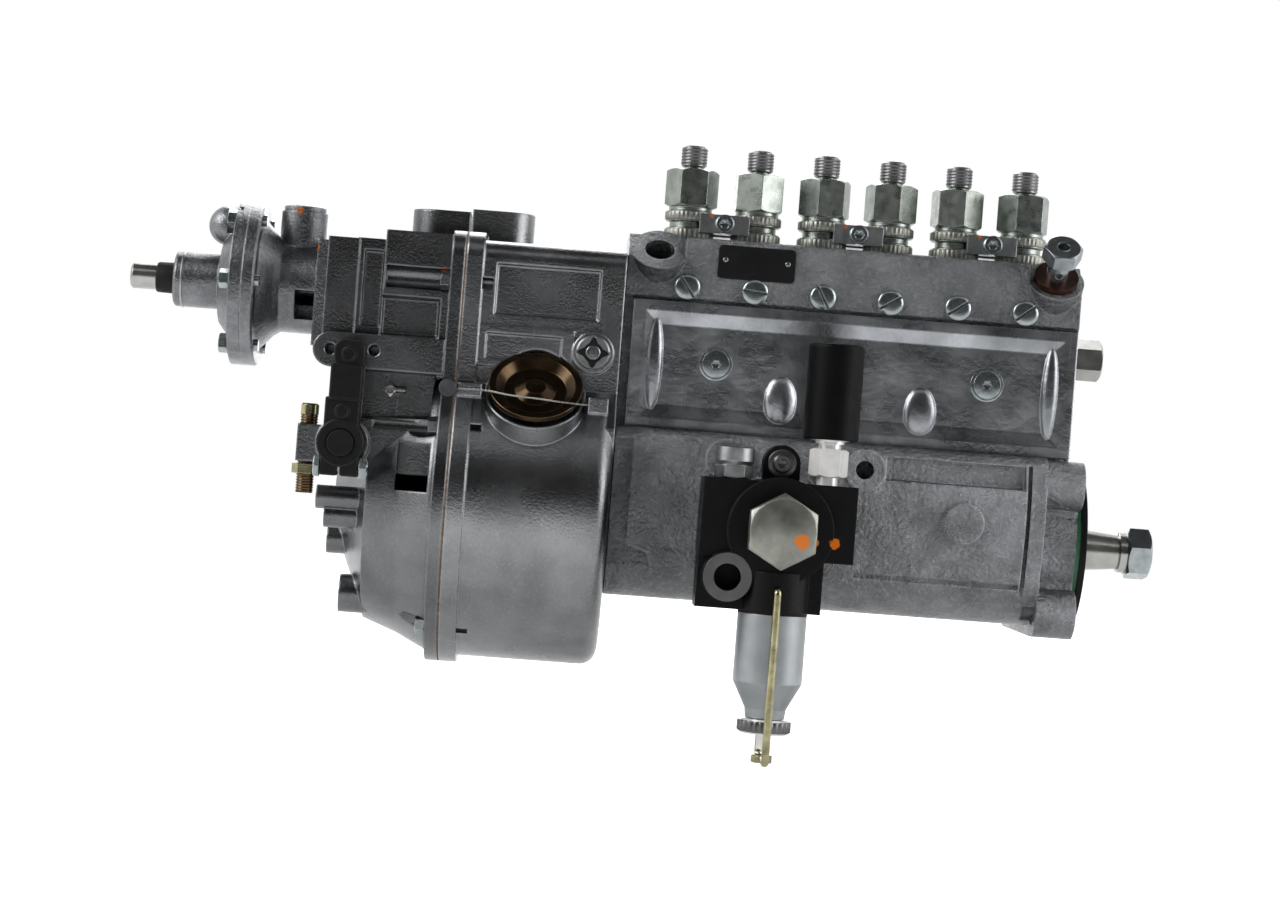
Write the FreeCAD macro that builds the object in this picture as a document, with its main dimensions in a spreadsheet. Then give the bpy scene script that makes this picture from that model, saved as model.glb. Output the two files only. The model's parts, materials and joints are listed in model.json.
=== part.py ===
"""In-line fuel injection pump with mechanical governor, boost compensator and feed pump.

Frame: +X points out of the drive end, -Y is the front with the feed pump, +Z is up towards
the delivery unions. The origin lies on the camshaft axis at the outer face of the drive end.
All lengths are millimetres and all angles degrees.
"""
import FreeCAD, Part
import Sketcher
import math
import os
import re

Vector = FreeCAD.Vector
Rotation = FreeCAD.Rotation

ELEMENTS = 6

# Driving dimensions
SIZES = {
    # Row of pumping elements and the housing around it
    "element_pitch": 32,
    "drive_inset": 35,
    "governor_inset": 28.5,
    "upper_inset": 9,
    "gallery_top": 133.5,
    "gallery_floor": 102.5,
    "gallery_half": 29,
    "cover_seat": 27,
    "chamber_clearance": 3,
    "chamber_floor": 46,
    "chamber_back": 18,
    "chamber_wall": 10,
    "case_top": 42.5,
    "case_front": 48,
    "case_back": 46,
    "case_floor": 37,
    "case_edge_radius": 8,
    "case_bulge_radius": 90,
    "case_belly_radius": 25,
    # Camshaft and its bearings
    "tunnel_radius": 24.5,
    "cam_base_radius": 13,
    "cam_nose_radius": 7,
    "cam_nose_offset": 14,
    "cam_width": 15,
    "cam_core_radius": 11,
    "feed_cam_offset": 4,
    "journal_radius": 12.5,
    "bearing_radius": 20,
    "bearing_race": 3.2,
    "bearing_width": 14,
    "taper_length": 23,
    "taper_large_radius": 10.35,
    "taper_small_radius": 8.15,
    "shaft_thread_radius": 6,
    "drive_nut_flats": 22,
    "drive_nut_height": 11.5,
    "lock_washer_height": 3.5,
    "fit_clearance": 0.05,
    # Drive end flange
    "flange_left": 23,
    "flange_face": 4.2,
    "flange_height": 41.5,
    "flange_lobe_radius": 11.5,
    "flange_hole_across": 38,
    "flange_hole_up": 30,
    "flange_hole_radius": 5.5,
    "flange_disc_radius": 41,
    "end_plate_radius": 42,
    "end_seat_depth": 0.6,
    "end_seal_width": 1.3,
    # Pumping elements
    "tappet_radius": 12.4,
    "tappet_foot": 27,
    "tappet_head": 50,
    "tappet_bolt_top": 56,
    "roller_radius": 9,
    "plunger_radius": 4.5,
    "plunger_top": 116,
    "sleeve_bore": 7,
    "sleeve_wall": 2,
    "sleeve_foot": 66,
    "quadrant_height": 7,
    "quadrant_pitch_radius": 11.5,
    "tooth_module": 1,
    "tooth_backlash": 0.1,
    "spring_radius": 11.4,
    "spring_wire": 1.8,
    "barrel_radius": 9.4,
    "barrel_shoulder": 118,
    "barrel_top": 122,
    "barrel_collar_radius": 12.3,
    "valve_height": 4,
    "valve_radius": 9,
    "holder_thread_radius": 12.4,
    "holder_collar_radius": 11.5,
    "holder_groove_radius": 9.7,
    "holder_hex_flats": 22,
    "holder_hex_foot": 149.2,
    "holder_hex_top": 167.6,
    "holder_top": 179,
    "union_radius": 6,
    "union_bore": 1.6,
    "clamp_foot": 137,
    "clamp_top": 146,
    "clamp_width": 23.7,
    "clamp_front": 15,
    "clamp_inner": 6,
    # Rack, gallery and cover
    "rack_offset": 15.4,
    "rack_height": 90.5,
    "rack_radius": 5,
    "rack_cap_flats": 17,
    "rack_cap_length": 13.5,
    "gallery_bore": 5.5,
    "gallery_offset": 15,
    "gallery_height": 109.6,
    "gallery_screw_radius": 5.9,
    "port_inset": 14.5,
    "port_right_inset": 12.3,
    "port_offset": 26,
    "port_height": 126.5,
    "port_radius": 7,
    "port_boss_radius": 13.5,
    "port_land": 27,
    "cover_thickness": 5,
    "cover_relief": 1.8,
    "cover_rim": 6,
    "cover_screw_drop": 16.1,
    "cover_screw_radius": 7.8,
    "cover_post_radius": 4.2,
    "support_spacing": 64,
    "support_shift": 7.5,
    "support_height": 30.3,
    "support_radius": 9.7,
    "support_hole": 4.25,
    "boss_inset": 59.8,
    "boss_height": 9.1,
    "boss_radius": 9.3,
    "panel_depth": 3,
    # Governor housing and cover
    "gasket": 0.8,
    "drum_radius": 72.6,
    "drum_corner": 8,
    "drum_wall": 6,
    "governor_length": 74,
    "governor_half": 46,
    "governor_top": 123.5,
    "shoulder_low": 40,
    "shoulder_high": 57,
    "seam_flange": 8,
    "seam_lip": 3.4,
    "cover_plate": 6,
    "cover_wall": 5,
    "box_reach": 50,
    "box_half": 41,
    "box_top": 120,
    "step_reach": 37,
    "step_top": 126,
    "mouth_reach": 54.2,
    "mouth_thickness": 9.4,
    "mouth_floor": 74,
    "mouth_top": 119.5,
    "ledge_front": 56,
    "ledge_floor": 59,
    "ledge_top": 75,
    "ledge_reach": 58,
    "bracket_reach": 57,
    "bracket_floor": 12,
    "bracket_top": 36.5,
    "pocket_floor": 44,
    "breather_half": 13.5,
    "breather_top": 139.5,
    "breather_inset": 44.3,
    "breather_reach": 27.9,
    "cap_radius": 21.5,
    "cap_inset": 37.7,
    "cap_offset": 58,
    "cap_height": 54,
    "wire_offset": 71,
    "plug_inset": 12.7,
    "plug_height": 74.6,
    "plug_radius": 8,
    "lever_inset": 48.7,
    "lever_height": 24.5,
    "lever_shaft_radius": 5.9,
    "lever_arm": 40.5,
    "lever_back": 66,
    "lever_front": 76,
    # Governor mechanism
    "weight_hinge_inset": 18.7,
    "weight_hinge_height": 28,
    "weight_toe": 15,
    "sleeve_length": 38,
    "governor_shaft_radius": 8,
    # Boost compensator
    "boost_height": 96.5,
    "boost_reach": 103.1,
    "boost_disc_radius": 38.7,
    "boost_plate": 6,
    "boost_neck_radius": 21.6,
    "boost_body_length": 33.5,
    "boost_boss_radius": 13.2,
    "boost_boss_length": 35.3,
    "boost_pin_radius": 6.2,
    "boost_pin_length": 56.3,
    "boost_bolt_circle": 34,
    "boost_cavity": 26,
    "stub_inset": 23.7,
    "stub_radius": 11,
    "stub_height": 36,
    "horn_inset": 10.5,
    "horn_radius": 9.5,
    "horn_height": 27,
    # Feed pump, hand primer and sediment bowl
    "feed_back": 51.6,
    "feed_front": 85,
    "feed_left": 36,
    "feed_right": 34,
    "feed_top": 22,
    "feed_arm_floor": 13,
    "feed_column_floor": 36.8,
    "feed_column_left": 18,
    "feed_bore": 11,
    "feed_plug_flats": 30,
    "feed_plug_height": 15,
    "bowl_offset": 72,
    "bowl_radius": 15.8,
    "bowl_wall": 2.4,
    "bowl_straight": 31,
    "bowl_depth": 47.3,
    "bowl_gasket": 1.2,
    "bowl_nut_radius": 11.8,
    "bail_wire": 3.6,
    "bail_front": 93.5,
    "bail_rear": 51,
    "bail_pivot": 27,
    "primer_shift": 20.5,
    "primer_offset": 70,
    "primer_radius": 12.7,
    "primer_foot": 42.6,
    "primer_top": 86.4,
    "primer_stroke": 22,
    "outlet_shift": 22.3,
    "outlet_radius": 8.9,
    "inlet_shift": 22.5,
    "inlet_height": 22.3,
    "inlet_radius": 11.4,
    "inlet_bore": 6,
}

# Places that follow from the driving dimensions
WORKED_OUT = {
    "housing_left": f"-(drive_inset + {ELEMENTS - 1} * element_pitch + governor_inset)",
    "feed_x": f"-(drive_inset + {ELEMENTS / 2 + 0.5} * element_pitch)",
    "quadrant_foot": "rack_height - quadrant_height / 2",
    "spring_seat": "quadrant_foot - 2.5",
    "barrel_foot": "quadrant_foot - 2",
    "chamber_top": "quadrant_foot + quadrant_height + chamber_clearance",
    "cover_screw_height": "rack_height - cover_screw_drop",
    "chamber_left": "housing_left + chamber_wall",
    "chamber_right": "-(upper_inset + chamber_wall)",
    "cover_left": "housing_left + 4.1",
    "cover_right": "-(upper_inset + 0.6)",
    "cover_middle": "(cover_left + cover_right) / 2",
    "cover_face": "cover_seat + cover_thickness - cover_relief",
    "governor_right": "housing_left - gasket",
    "governor_seam": "governor_right - governor_length",
    "cover_seam": "governor_seam - gasket",
    "cover_plate_left": "cover_seam - cover_plate",
    "holder_seat": "barrel_top + valve_height",
    "bowl_top": "-(feed_column_floor + bowl_gasket)",
    "bowl_floor": "bowl_top - bowl_depth",
    "port_left_x": "housing_left + port_inset",
    "port_right_x": "-(upper_inset + port_right_inset)",
    "nut_seat": "taper_length + lock_washer_height",
    "left_bearing_x": "housing_left + 1",
    "lever_x": "cover_seam - lever_inset",
    "cap_x": "governor_right - cap_inset",
    "plug_x": "governor_right - plug_inset",
    "hinge_x": "governor_right - weight_hinge_inset",
    "breather_right_x": "governor_right - breather_inset",
    "breather_left_x": "cover_seam - breather_reach",
    "boost_x": "cover_seam - boost_reach",
    "stub_x": "boost_x + stub_inset",
    "stop_x": "lever_x - 16.2",
}

UP = Rotation()
RIGHT = Rotation(Vector(0, 1, 0), 90)
LEFT = Rotation(Vector(0, 1, 0), -90)
FRONT = Rotation(Vector(1, 0, 0), 90)
SHOULDER = Rotation(Vector(1, 0, 0), 45)

doc = FreeCAD.newDocument("InjectionPump")
sheet = doc.addObject("Spreadsheet::Sheet", "Sizes")
for row, (name, number) in enumerate(SIZES.items(), start=1):
    sheet.set(f"A{row}", name)
    sheet.set(f"B{row}", str(number))
    sheet.setAlias(f"B{row}", name)
doc.recompute()

PIECES = []


# Formulas

def formula(text):
    """Spell a size formula out for the document: names become spreadsheet cells."""
    def swap(match):
        word = match.group(0)
        if word in WORKED_OUT:
            return "(" + formula(WORKED_OUT[word]) + ")"
        return "Sizes." + word if word in SIZES else word
    return re.sub(r"[a-z][a-z_0-9]*", swap, str(text))


def value(text):
    return float(sheet.evalExpression(formula(text)))


def element_x(number):
    """Place along X of a pumping element, counted from the governor end."""
    return f"(-(drive_inset + {ELEMENTS - number} * element_pitch))"


def place(thing, x=0, y=0, z=0, turn=UP):
    thing.Placement = FreeCAD.Placement(Vector(), turn)
    for axis, distance in zip("xyz", (x, y, z)):
        thing.setExpression("Placement.Base." + axis, formula(distance))
    return thing


# Primitive solids

def solid(kind, x, y, z, turn, **lengths):
    thing = doc.addObject("Part::" + kind, kind)
    for name, length in lengths.items():
        thing.setExpression(name, formula(length))
    return place(thing, x, y, z, turn)


def cylinder(radius, length, x=0, y=0, z=0, turn=UP):
    return solid("Cylinder", x, y, z, turn, Radius=radius, Height=length)


def ellipsoid(half_x, half_y, half_z, x=0, y=0, z=0, turn=UP):
    """Radius1 lies along Z, Radius2 along X and Radius3 along Y."""
    return solid("Ellipsoid", x, y, z, turn, Radius1=half_z, Radius2=half_x, Radius3=half_y)


def box(x_from, x_to, y_from, y_to, z_from, z_to):
    return solid("Box", x_from, y_from, z_from, UP, Length=f"({x_to}) - ({x_from})",
                 Width=f"({y_to}) - ({y_from})", Height=f"({z_to}) - ({z_from})")


def slab(length, width, height, x, y, z, turn):
    """A box given by its sizes, with its first corner at a place and its own turn."""
    return solid("Box", x, y, z, turn, Length=length, Width=width, Height=height)


def recess(x_from, x_to, z_from, z_to, floor, mouth, slope):
    """A sunk panel to be cut from a front face: it widens by a slope from floor to mouth."""
    panel = doc.addObject("Part::Wedge", "Recess")
    bounds = {
        "Xmin": f"{x_from} - {slope}", "Xmax": f"{x_to} + {slope}", "X2min": x_from, "X2max": x_to,
        "Zmin": f"{z_from} - {slope}", "Zmax": f"{z_to} + {slope}", "Z2min": z_from, "Z2max": z_to,
        "Ymin": mouth, "Ymax": floor,
    }
    for name, bound in bounds.items():
        panel.setExpression(name, formula(bound))
    return panel


def hexagon(flats, length, x=0, y=0, z=0, turn=UP):
    thing = solid("Prism", x, y, z, turn, Circumradius=f"({flats}) / (2 * cos(30))", Height=length)
    thing.Polygon = 6
    return thing


def hex_nut(flats, length, x=0, y=0, z=0, turn=UP, spin=0):
    """A hexagon whose corners are turned off at both ends."""
    prism = hexagon(flats, length)
    prism.Placement = FreeCAD.Placement(Vector(), Rotation(Vector(0, 0, 1), spin))
    corner = f"({flats}) / (2 * cos(30))"
    land = f"({flats}) * 0.48"
    bevel = f"({corner} - {land}) * tan(30)"
    turned_off = turned([(0, 0), (land, 0), (corner, bevel), (corner, f"({length}) - {bevel}"),
                         (land, length), (0, length)])
    common = doc.addObject("Part::Common", "HexNut")
    common.Base = prism
    common.Tool = turned_off
    return place(common, x, y, z, turn)


def join(*things):
    fused = doc.addObject("Part::MultiFuse", "Joined")
    fused.Shapes = list(things)
    fused.Refine = True
    return fused


def cut(base, *tools):
    result = doc.addObject("Part::Cut", "Cut")
    result.Base = base
    result.Tool = tools[0] if len(tools) == 1 else join(*tools)
    result.Refine = True
    return result


def tube(outer, inner, length, x=0, y=0, z=0, turn=UP):
    return cut(cylinder(outer, length, x, y, z, turn), cylinder(inner, length, x, y, z, turn))


def copy_at(thing, x=0, y=0, z=0, turn=UP):
    link = doc.addObject("App::Link", "Copy")
    link.LinkedObject = thing
    return place(link, x, y, z, turn)


def group(things):
    compound = doc.addObject("Part::Compound", "Group")
    compound.Links = list(things)
    return compound


def at_each_element(thing, z=0):
    """Copies of a solid that stands on the Z axis, one at every pumping element."""
    return group([copy_at(thing, element_x(number), 0, z) for number in range(1, ELEMENTS + 1)])


# Sketched solids

def origin_plane(body, role):
    return [feature for feature in body.Origin.OriginFeatures if feature.Role == role][0]


def new_sketch(body, role):
    sketch = body.newObject("Sketcher::SketchObject", "Outline")
    sketch.AttachmentSupport = (origin_plane(body, role), [""])
    sketch.MapMode = "FlatFace"
    return sketch


def bind(sketch, constraint, size):
    index = sketch.addConstraint(constraint)
    sketch.setExpression(f"Constraints[{index}]", formula(size))


def draw(sketch, corners):
    """Draw a closed outline, anticlockwise. A corner is (across, up), reached by a line, or
    (across, up, radius), reached by an arc that bulges outwards, or inwards if negative."""
    spots = [Vector(value(corner[0]), value(corner[1]), 0) for corner in corners]
    ends = []
    for index, start in enumerate(spots):
        finish = spots[(index + 1) % len(spots)]
        reach = corners[(index + 1) % len(corners)]
        if len(reach) == 2:
            ends.append((sketch.addGeometry(Part.LineSegment(start, finish), False), 1, 2))
            continue
        radius = value(reach[2])
        chord = finish - start
        side = Vector(-chord.y, chord.x, 0).normalize()
        rise = math.sqrt(max(radius ** 2 - (chord.Length / 2) ** 2, 0))
        middle = (start + finish) * 0.5 + side * math.copysign(rise, radius)
        first, last = (start, finish) if radius > 0 else (finish, start)
        angle_1 = math.atan2(first.y - middle.y, first.x - middle.x)
        angle_2 = math.atan2(last.y - middle.y, last.x - middle.x)
        if angle_2 <= angle_1:
            angle_2 += 2 * math.pi
        circle = Part.Circle(middle, Vector(0, 0, 1), abs(radius))
        arc = sketch.addGeometry(Part.ArcOfCircle(circle, angle_1, angle_2), False)
        ends.append((arc, 1, 2) if radius > 0 else (arc, 2, 1))
        bind(sketch, Sketcher.Constraint("Radius", arc, abs(radius)), f"abs({reach[2]})")
    for index, (edge, start, _) in enumerate(ends):
        before, _, finish = ends[index - 1]
        sketch.addConstraint(Sketcher.Constraint("Coincident", before, finish, edge, start))
        for kind, size in zip(("DistanceX", "DistanceY"), corners[index][:2]):
            bind(sketch, Sketcher.Constraint(kind, edge, start, value(size)), size)


def turned(profile, x=0, y=0, z=0, turn=UP):
    """A turned solid. The profile holds (radius, height) corners about the local Z axis."""
    body = doc.addObject("PartDesign::Body", "Turned")
    sketch = new_sketch(body, "XZ_Plane")
    draw(sketch, profile)
    feature = body.newObject("PartDesign::Revolution", "Revolution")
    feature.Profile = sketch
    feature.ReferenceAxis = (sketch, ["V_Axis"])
    feature.Angle = 360
    return place(body, x, y, z, turn)


def prism(role, outline, length, x=0, y=0, z=0):
    """A sketched prism. On YZ it grows along +X, on XY along +Z and on XZ along -Y."""
    body = doc.addObject("PartDesign::Body", "Prism")
    sketch = new_sketch(body, role)
    draw(sketch, outline)
    feature = body.newObject("PartDesign::Pad", "Pad")
    feature.Profile = sketch
    feature.setExpression("Length", formula(length))
    return place(body, x, y, z)


def piece(label, thing):
    thing.Label = label
    PIECES.append(thing)
    return thing


# Pump housing

def port_axis_place(reach):
    """Y and Z of a point on a fuel port's axis, a distance out from the port's face."""
    return f"-port_offset - ({reach}) * cos(45)", f"port_height + ({reach}) * cos(45)"


def case_outline(margin=0):
    front = f"-(case_front - {margin})"
    back = f"case_back - {margin}"
    top = f"case_top - {margin}"
    floor = f"-(case_floor - {margin})"
    edge = "case_edge_radius"
    return [
        (f"{front} + {edge}", top),
        (front, f"{top} - {edge}", edge),
        (front, f"{floor} + case_belly_radius", "case_bulge_radius"),
        (f"{front} + case_belly_radius - 3", floor, "case_belly_radius"),
        (f"{back} - case_belly_radius + 3", floor),
        (back, f"{floor} + case_belly_radius", "case_belly_radius"),
        (back, f"{top} - {edge}"),
        (f"{back} - {edge}", top, edge),
    ]


def upper_outline():
    corner = "(gallery_half - cover_seat + 1)"
    return [
        ("-cover_seat", "case_top - 6"),
        ("gallery_half", "case_top - 6"),
        ("gallery_half", "gallery_top - 5"),
        ("gallery_half - 5", "gallery_top", 5),
        (f"-gallery_half + {corner}", "gallery_top"),
        ("-gallery_half", f"gallery_top - {corner}", corner),
        ("-gallery_half", "gallery_floor + 2"),
        ("-cover_seat", "gallery_floor"),
    ]


def flange_lobes(radius, length, x):
    spots = [(side, level) for side in (-1, 1) for level in (-1, 1)]
    return [cylinder(radius, length, x, f"{side} * flange_hole_across",
                     f"{level} * flange_hole_up", RIGHT) for side, level in spots]


def port_cut(x_from, x_to):
    """The corner of the gallery planed off at 45 degrees for a fuel port's face."""
    y, z = port_axis_place(0)
    return slab(f"({x_to}) - ({x_from})", 40, 20, x_from, f"{y} - 20 * cos(45)",
                f"{z} - 20 * cos(45)", SHOULDER)


def case_panels():
    """Sunk panels and grooves on the front of the cam case."""
    left = "housing_left"
    front = "(-case_front - 6)"
    step = [(f"{left} - 1", "-case_floor - 3"), (f"{left} + 38.5", "-case_floor - 3"),
            (f"{left} + 38.5", "-case_floor + 5"), (f"{left} + 23", "-case_floor + 5.5"),
            (f"{left} + 18.5", -15), (f"{left} + 8.5", -12), (f"{left} + 8.5", 37),
            (f"{left} - 1", 37)]
    panel_floor = "(-case_front + panel_depth - 1)"
    return [
        prism("XZ_Plane", step, 12, 0, panel_floor),
        recess("-97", "-flange_left - 9.5", 27, 37, panel_floor, front, 1.5),
        recess("-109", "-flange_left - 9", -20, -17.6, panel_floor, front, 1),
        recess("-109", "-flange_left - 9", -32.5, -30, "(-case_front + 7)", front, 0.5),
        box("-flange_left - 8", "-flange_left - 6", front, "(-case_front + 2.5)", -34, 38),
    ]


def pump_housing():
    flange_length = "flange_left - flange_face"
    forms = [
        prism("YZ_Plane", case_outline(), "-flange_left - housing_left + 1", "housing_left"),
        prism("YZ_Plane", upper_outline(), "-upper_inset - housing_left", "housing_left"),
        box("-flange_left", "-flange_face", "-flange_hole_across", "flange_hole_across",
            "-flange_height", "flange_height"),
        cylinder("flange_disc_radius", flange_length, "-flange_left", turn=RIGHT),
        cylinder("boss_radius", "case_front - 25.5", "-boss_inset", -30, "boss_height", FRONT),
    ]
    forms += flange_lobes("flange_lobe_radius", flange_length, "-flange_left")
    forms.append(cylinder(25, "feed_back - 30", "feed_x", -30, 0, FRONT))
    for side in (-0.5, 0.5):
        forms.append(cylinder("support_radius", "case_front - 27",
                              f"feed_x + support_shift + {side} * support_spacing",
                              -30, "support_height", FRONT))
    for x in ("port_left_x", "port_right_x"):
        y, z = port_axis_place(-20)
        forms.append(cylinder("port_boss_radius", 20, x, y, z, SHOULDER))
    tools = case_panels() + [
        cylinder("tunnel_radius", "-housing_left - bearing_width - 1",
                 "housing_left + bearing_width + 1", turn=RIGHT),
        cylinder("bearing_radius + fit_clearance", "bearing_width + 2", "housing_left", turn=RIGHT),
        box("chamber_left", "chamber_right", "-cover_seat - 5", "chamber_back",
            "chamber_floor", "chamber_top"),
        cylinder("gallery_bore", "port_right_x - port_left_x", "port_left_x",
                 "-gallery_offset", "gallery_height", RIGHT),
        cylinder("rack_radius + fit_clearance", "-housing_left", "housing_left",
                 "-rack_offset", "rack_height", RIGHT),
        cylinder(13, 34, "feed_x", -20, 0, FRONT),
        port_cut("housing_left - 1", "housing_left + port_land"),
        port_cut("-upper_inset - port_land + 2", "-upper_inset + 1"),
    ]
    for x in ("port_left_x", "port_right_x"):
        y, z = port_axis_place(-17)
        tools.append(cylinder("port_radius", 30, x, y, z, SHOULDER))
    for side in (-0.5, 0.5):
        tools.append(cylinder("support_hole", 18, f"feed_x + support_shift + {side} * support_spacing",
                              "-case_front + 12", "support_height", FRONT))
    tools += flange_lobes("flange_hole_radius", 30, "-flange_left - 5")
    tools.append(cylinder("end_plate_radius + 0.6", "end_seat_depth + 1",
                          "-flange_face - end_seat_depth", turn=RIGHT))
    for number in range(1, ELEMENTS + 1):
        x = element_x(number)
        tools += [
            cylinder("tappet_radius + fit_clearance", "chamber_floor - 10", x, 0, 15),
            cylinder(13, "case_floor - 15", x, 0, "-case_floor"),
            cylinder("barrel_radius + fit_clearance", "barrel_shoulder - chamber_top + 6", x, 0,
                     "chamber_top - 5"),
            cylinder("holder_thread_radius + 2 * fit_clearance", 30, x, 0, "barrel_shoulder"),
            cylinder("4 + fit_clearance", 14, x, "-gallery_offset", "gallery_height", FRONT),
        ]
    posts = []
    for number in (1, ELEMENTS - 1):
        x = f"({element_x(number)} + element_pitch / 2)"
        post = cylinder("cover_post_radius", "chamber_back + cover_seat + 1", x,
                        "chamber_back + 1", "cover_screw_height", FRONT)
        thread = cylinder("2.5 + fit_clearance", 20, x, "-cover_seat + 14", "cover_screw_height", FRONT)
        posts.append(cut(post, thread))
    return join(cut(join(*forms), *tools), *posts)


def base_plugs():
    plug = turned([(0, 0), (9, 0), (10, 1), ("13 - fit_clearance", 1),
                   ("13 - fit_clearance", 6), (0, 6)])
    return at_each_element(plug, "-case_floor")


def inspection_cover():
    plate = box("cover_left", "cover_right", "-cover_seat - cover_thickness", "-cover_seat",
                "case_top + 0.3", "gallery_floor - 0.2")
    rim = "(2 * cover_rim)"
    relief = recess(f"cover_left + {rim}", f"cover_right - {rim}", f"case_top + {rim} - 1",
                    f"gallery_floor - {rim} + 1", "-cover_face",
                    "-cover_seat - cover_thickness - 0.01", "cover_rim")
    middle = "(case_top + gallery_floor) / 2"
    bumps = []
    for side in (-1, 1):
        bumps.append(ellipsoid(4, 3, 22, f"cover_middle + {side} * 93.5", "-cover_face", middle))
        bumps.append(ellipsoid(7.5, 3, 12, f"cover_middle + {side} * 33", "-cover_face",
                               f"{middle} - 13.5"))
    holes = []
    for number in (1, ELEMENTS - 1):
        x = f"{element_x(number)} + element_pitch / 2"
        holes.append(cylinder(3, 20, x, "-cover_seat + 5", "cover_screw_height", FRONT))
        holes.append(cylinder("cover_screw_radius + fit_clearance", "cover_relief + 4", x,
                              "-cover_face - 0.01", "cover_screw_height", FRONT))
    domes = doc.addObject("Part::Common", "Domes")
    domes.Base = join(*bumps)
    domes.Tool = box("cover_left", "cover_right", "-cover_seat - 8", "-cover_seat - 1",
                     "case_top", "gallery_floor")
    return cut(join(cut(plate, relief), domes), *holes)


def socket_screw(head_radius, head_height, shank_radius, shank_length, socket_radius):
    """A screw along Z with its head's underside at the origin and a socket in its head."""
    blank = turned([(0, f"-({shank_length})"), (shank_radius, f"-({shank_length})"),
                    (shank_radius, 0), (head_radius, 0),
                    (head_radius, f"({head_height}) - 0.5"),
                    (f"({head_radius}) - 0.5", head_height), (0, head_height)])
    return cut(blank, hexagon(f"2 * ({socket_radius})", 8, 0, 0, f"({head_height}) * 0.4"))


def cover_screws():
    screw = socket_screw("cover_screw_radius", 2.6, 2.5, 14, 2.2)
    return group([copy_at(screw, f"{element_x(number)} + element_pitch / 2", "-cover_face",
                          "cover_screw_height", FRONT) for number in (1, ELEMENTS - 1)])


def gallery_screws():
    blank = turned([(0, -8), (4, -8), (4, 0), ("gallery_screw_radius", 0),
                    ("gallery_screw_radius", 1.6), ("gallery_screw_radius - 0.6", 2.2), (0, 2.2)])
    screws = []
    for number, spin in enumerate((60, 100, 50, 20, 35, 15), start=1):
        slot = slab(20, 1.3, 3, -10, -0.65, 1, UP)
        slot.Placement = FreeCAD.Placement(Vector(0, 0, 1), Rotation(Vector(0, 0, 1), spin)).multiply(
            FreeCAD.Placement(Vector(-10, -0.65, 0), Rotation()))
        slotted = cut(blank, slot)
        screws.append(place(slotted, element_x(number), "-gallery_half", "gallery_height", FRONT))
    return group(screws)


def rack_cap():
    nut = hex_nut("rack_cap_flats", "rack_cap_length", turn=UP, spin=0)
    hollow = cylinder(6.2, 9, z=-1)
    return place(cut(nut, hollow), "-upper_inset", "-rack_offset", "rack_height", RIGHT)


# Fuel ports

def overflow_bolt():
    y, z = port_axis_place(0)
    shank = turned([(0, -11), (5.2, -11), (5.2, 12), (7.4, 13), (0, 13)])
    head = hex_nut(16.2, 8, z=13)
    blank = join(shank, head)
    bores = [cylinder(3, 40, 0, 0, 14), cylinder(2.2, 26, 0, 0, -12),
             cylinder(1.7, 14, -7, 0, 7, RIGHT), cylinder(1.7, 14, 0, 7, 7, FRONT)]
    return place(cut(blank, *bores), "port_right_x", y, z, SHOULDER)


def overflow_washers():
    rings = []
    for level in (0, 1.5):
        y, z = port_axis_place(level)
        ring = tube(10.4, 5.3, 1.5)
        rings.append(place(ring, "port_right_x", y, z, SHOULDER))
    return group(rings)


# Camshaft

def cam(number, angle):
    """A cam with a round base and a nose, joined by tangent flanks."""
    lean = "asin((cam_base_radius - cam_nose_radius) / cam_nose_offset)"
    outline = [
        (f"cam_base_radius * cos({lean})", f"cam_base_radius * sin({lean})"),
        (f"cam_nose_radius * cos({lean})", f"cam_nose_offset + cam_nose_radius * sin({lean})"),
        (0, "cam_nose_offset + cam_nose_radius", "cam_nose_radius"),
        (f"-cam_nose_radius * cos({lean})", f"cam_nose_offset + cam_nose_radius * sin({lean})",
         "cam_nose_radius"),
        (f"-cam_base_radius * cos({lean})", f"cam_base_radius * sin({lean})"),
        (0, "-cam_base_radius", "cam_base_radius"),
        (f"cam_base_radius * cos({lean})", f"cam_base_radius * sin({lean})", "cam_base_radius"),
    ]
    lobe = prism("XY_Plane", outline[:-1], "cam_width")
    turn = Rotation(Vector(1, 0, 0), angle).multiply(RIGHT)
    return place(lobe, f"{element_x(number)} - cam_width / 2", 0, 0, turn)


def camshaft():
    race = "(journal_radius - bearing_race)"
    core = turned([
        (0, "-taper_length - 15"),
        ("shaft_thread_radius", "-taper_length - 15"),
        ("shaft_thread_radius", "-taper_length"),
        ("taper_small_radius", "-taper_length"),
        ("taper_large_radius", 0),
        ("taper_large_radius", "flange_face"),
        (race, "flange_face + 1"),
        (race, "flange_left + 3"),
        ("cam_core_radius", "flange_left + 3"),
        ("cam_core_radius", "-left_bearing_x - bearing_width"),
        (race, "-left_bearing_x - bearing_width"),
        (race, "-left_bearing_x + 4"),
        ("governor_shaft_radius", "-left_bearing_x + 4"),
        ("governor_shaft_radius", "-governor_seam - 6"),
        (0, "-governor_seam - 6"),
    ], turn=LEFT)
    firing_order = (1, 5, 3, 6, 2, 4)
    cams = [cam(number, 30 + 60 * turn) for turn, number in enumerate(firing_order)]
    feed_cam = cylinder("cam_core_radius + feed_cam_offset + 1", "cam_width - 3",
                        "feed_x - (cam_width - 3) / 2", 0, "-feed_cam_offset", RIGHT)
    return join(core, feed_cam, *cams)


def bearing_rings(outer, inner):
    """The rings of both main bearings, as tubes along X."""
    rings = []
    for x in ("left_bearing_x", "-flange_left"):
        rings.append(tube(outer, inner, "bearing_width", x, turn=RIGHT))
    return group(rings)


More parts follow.
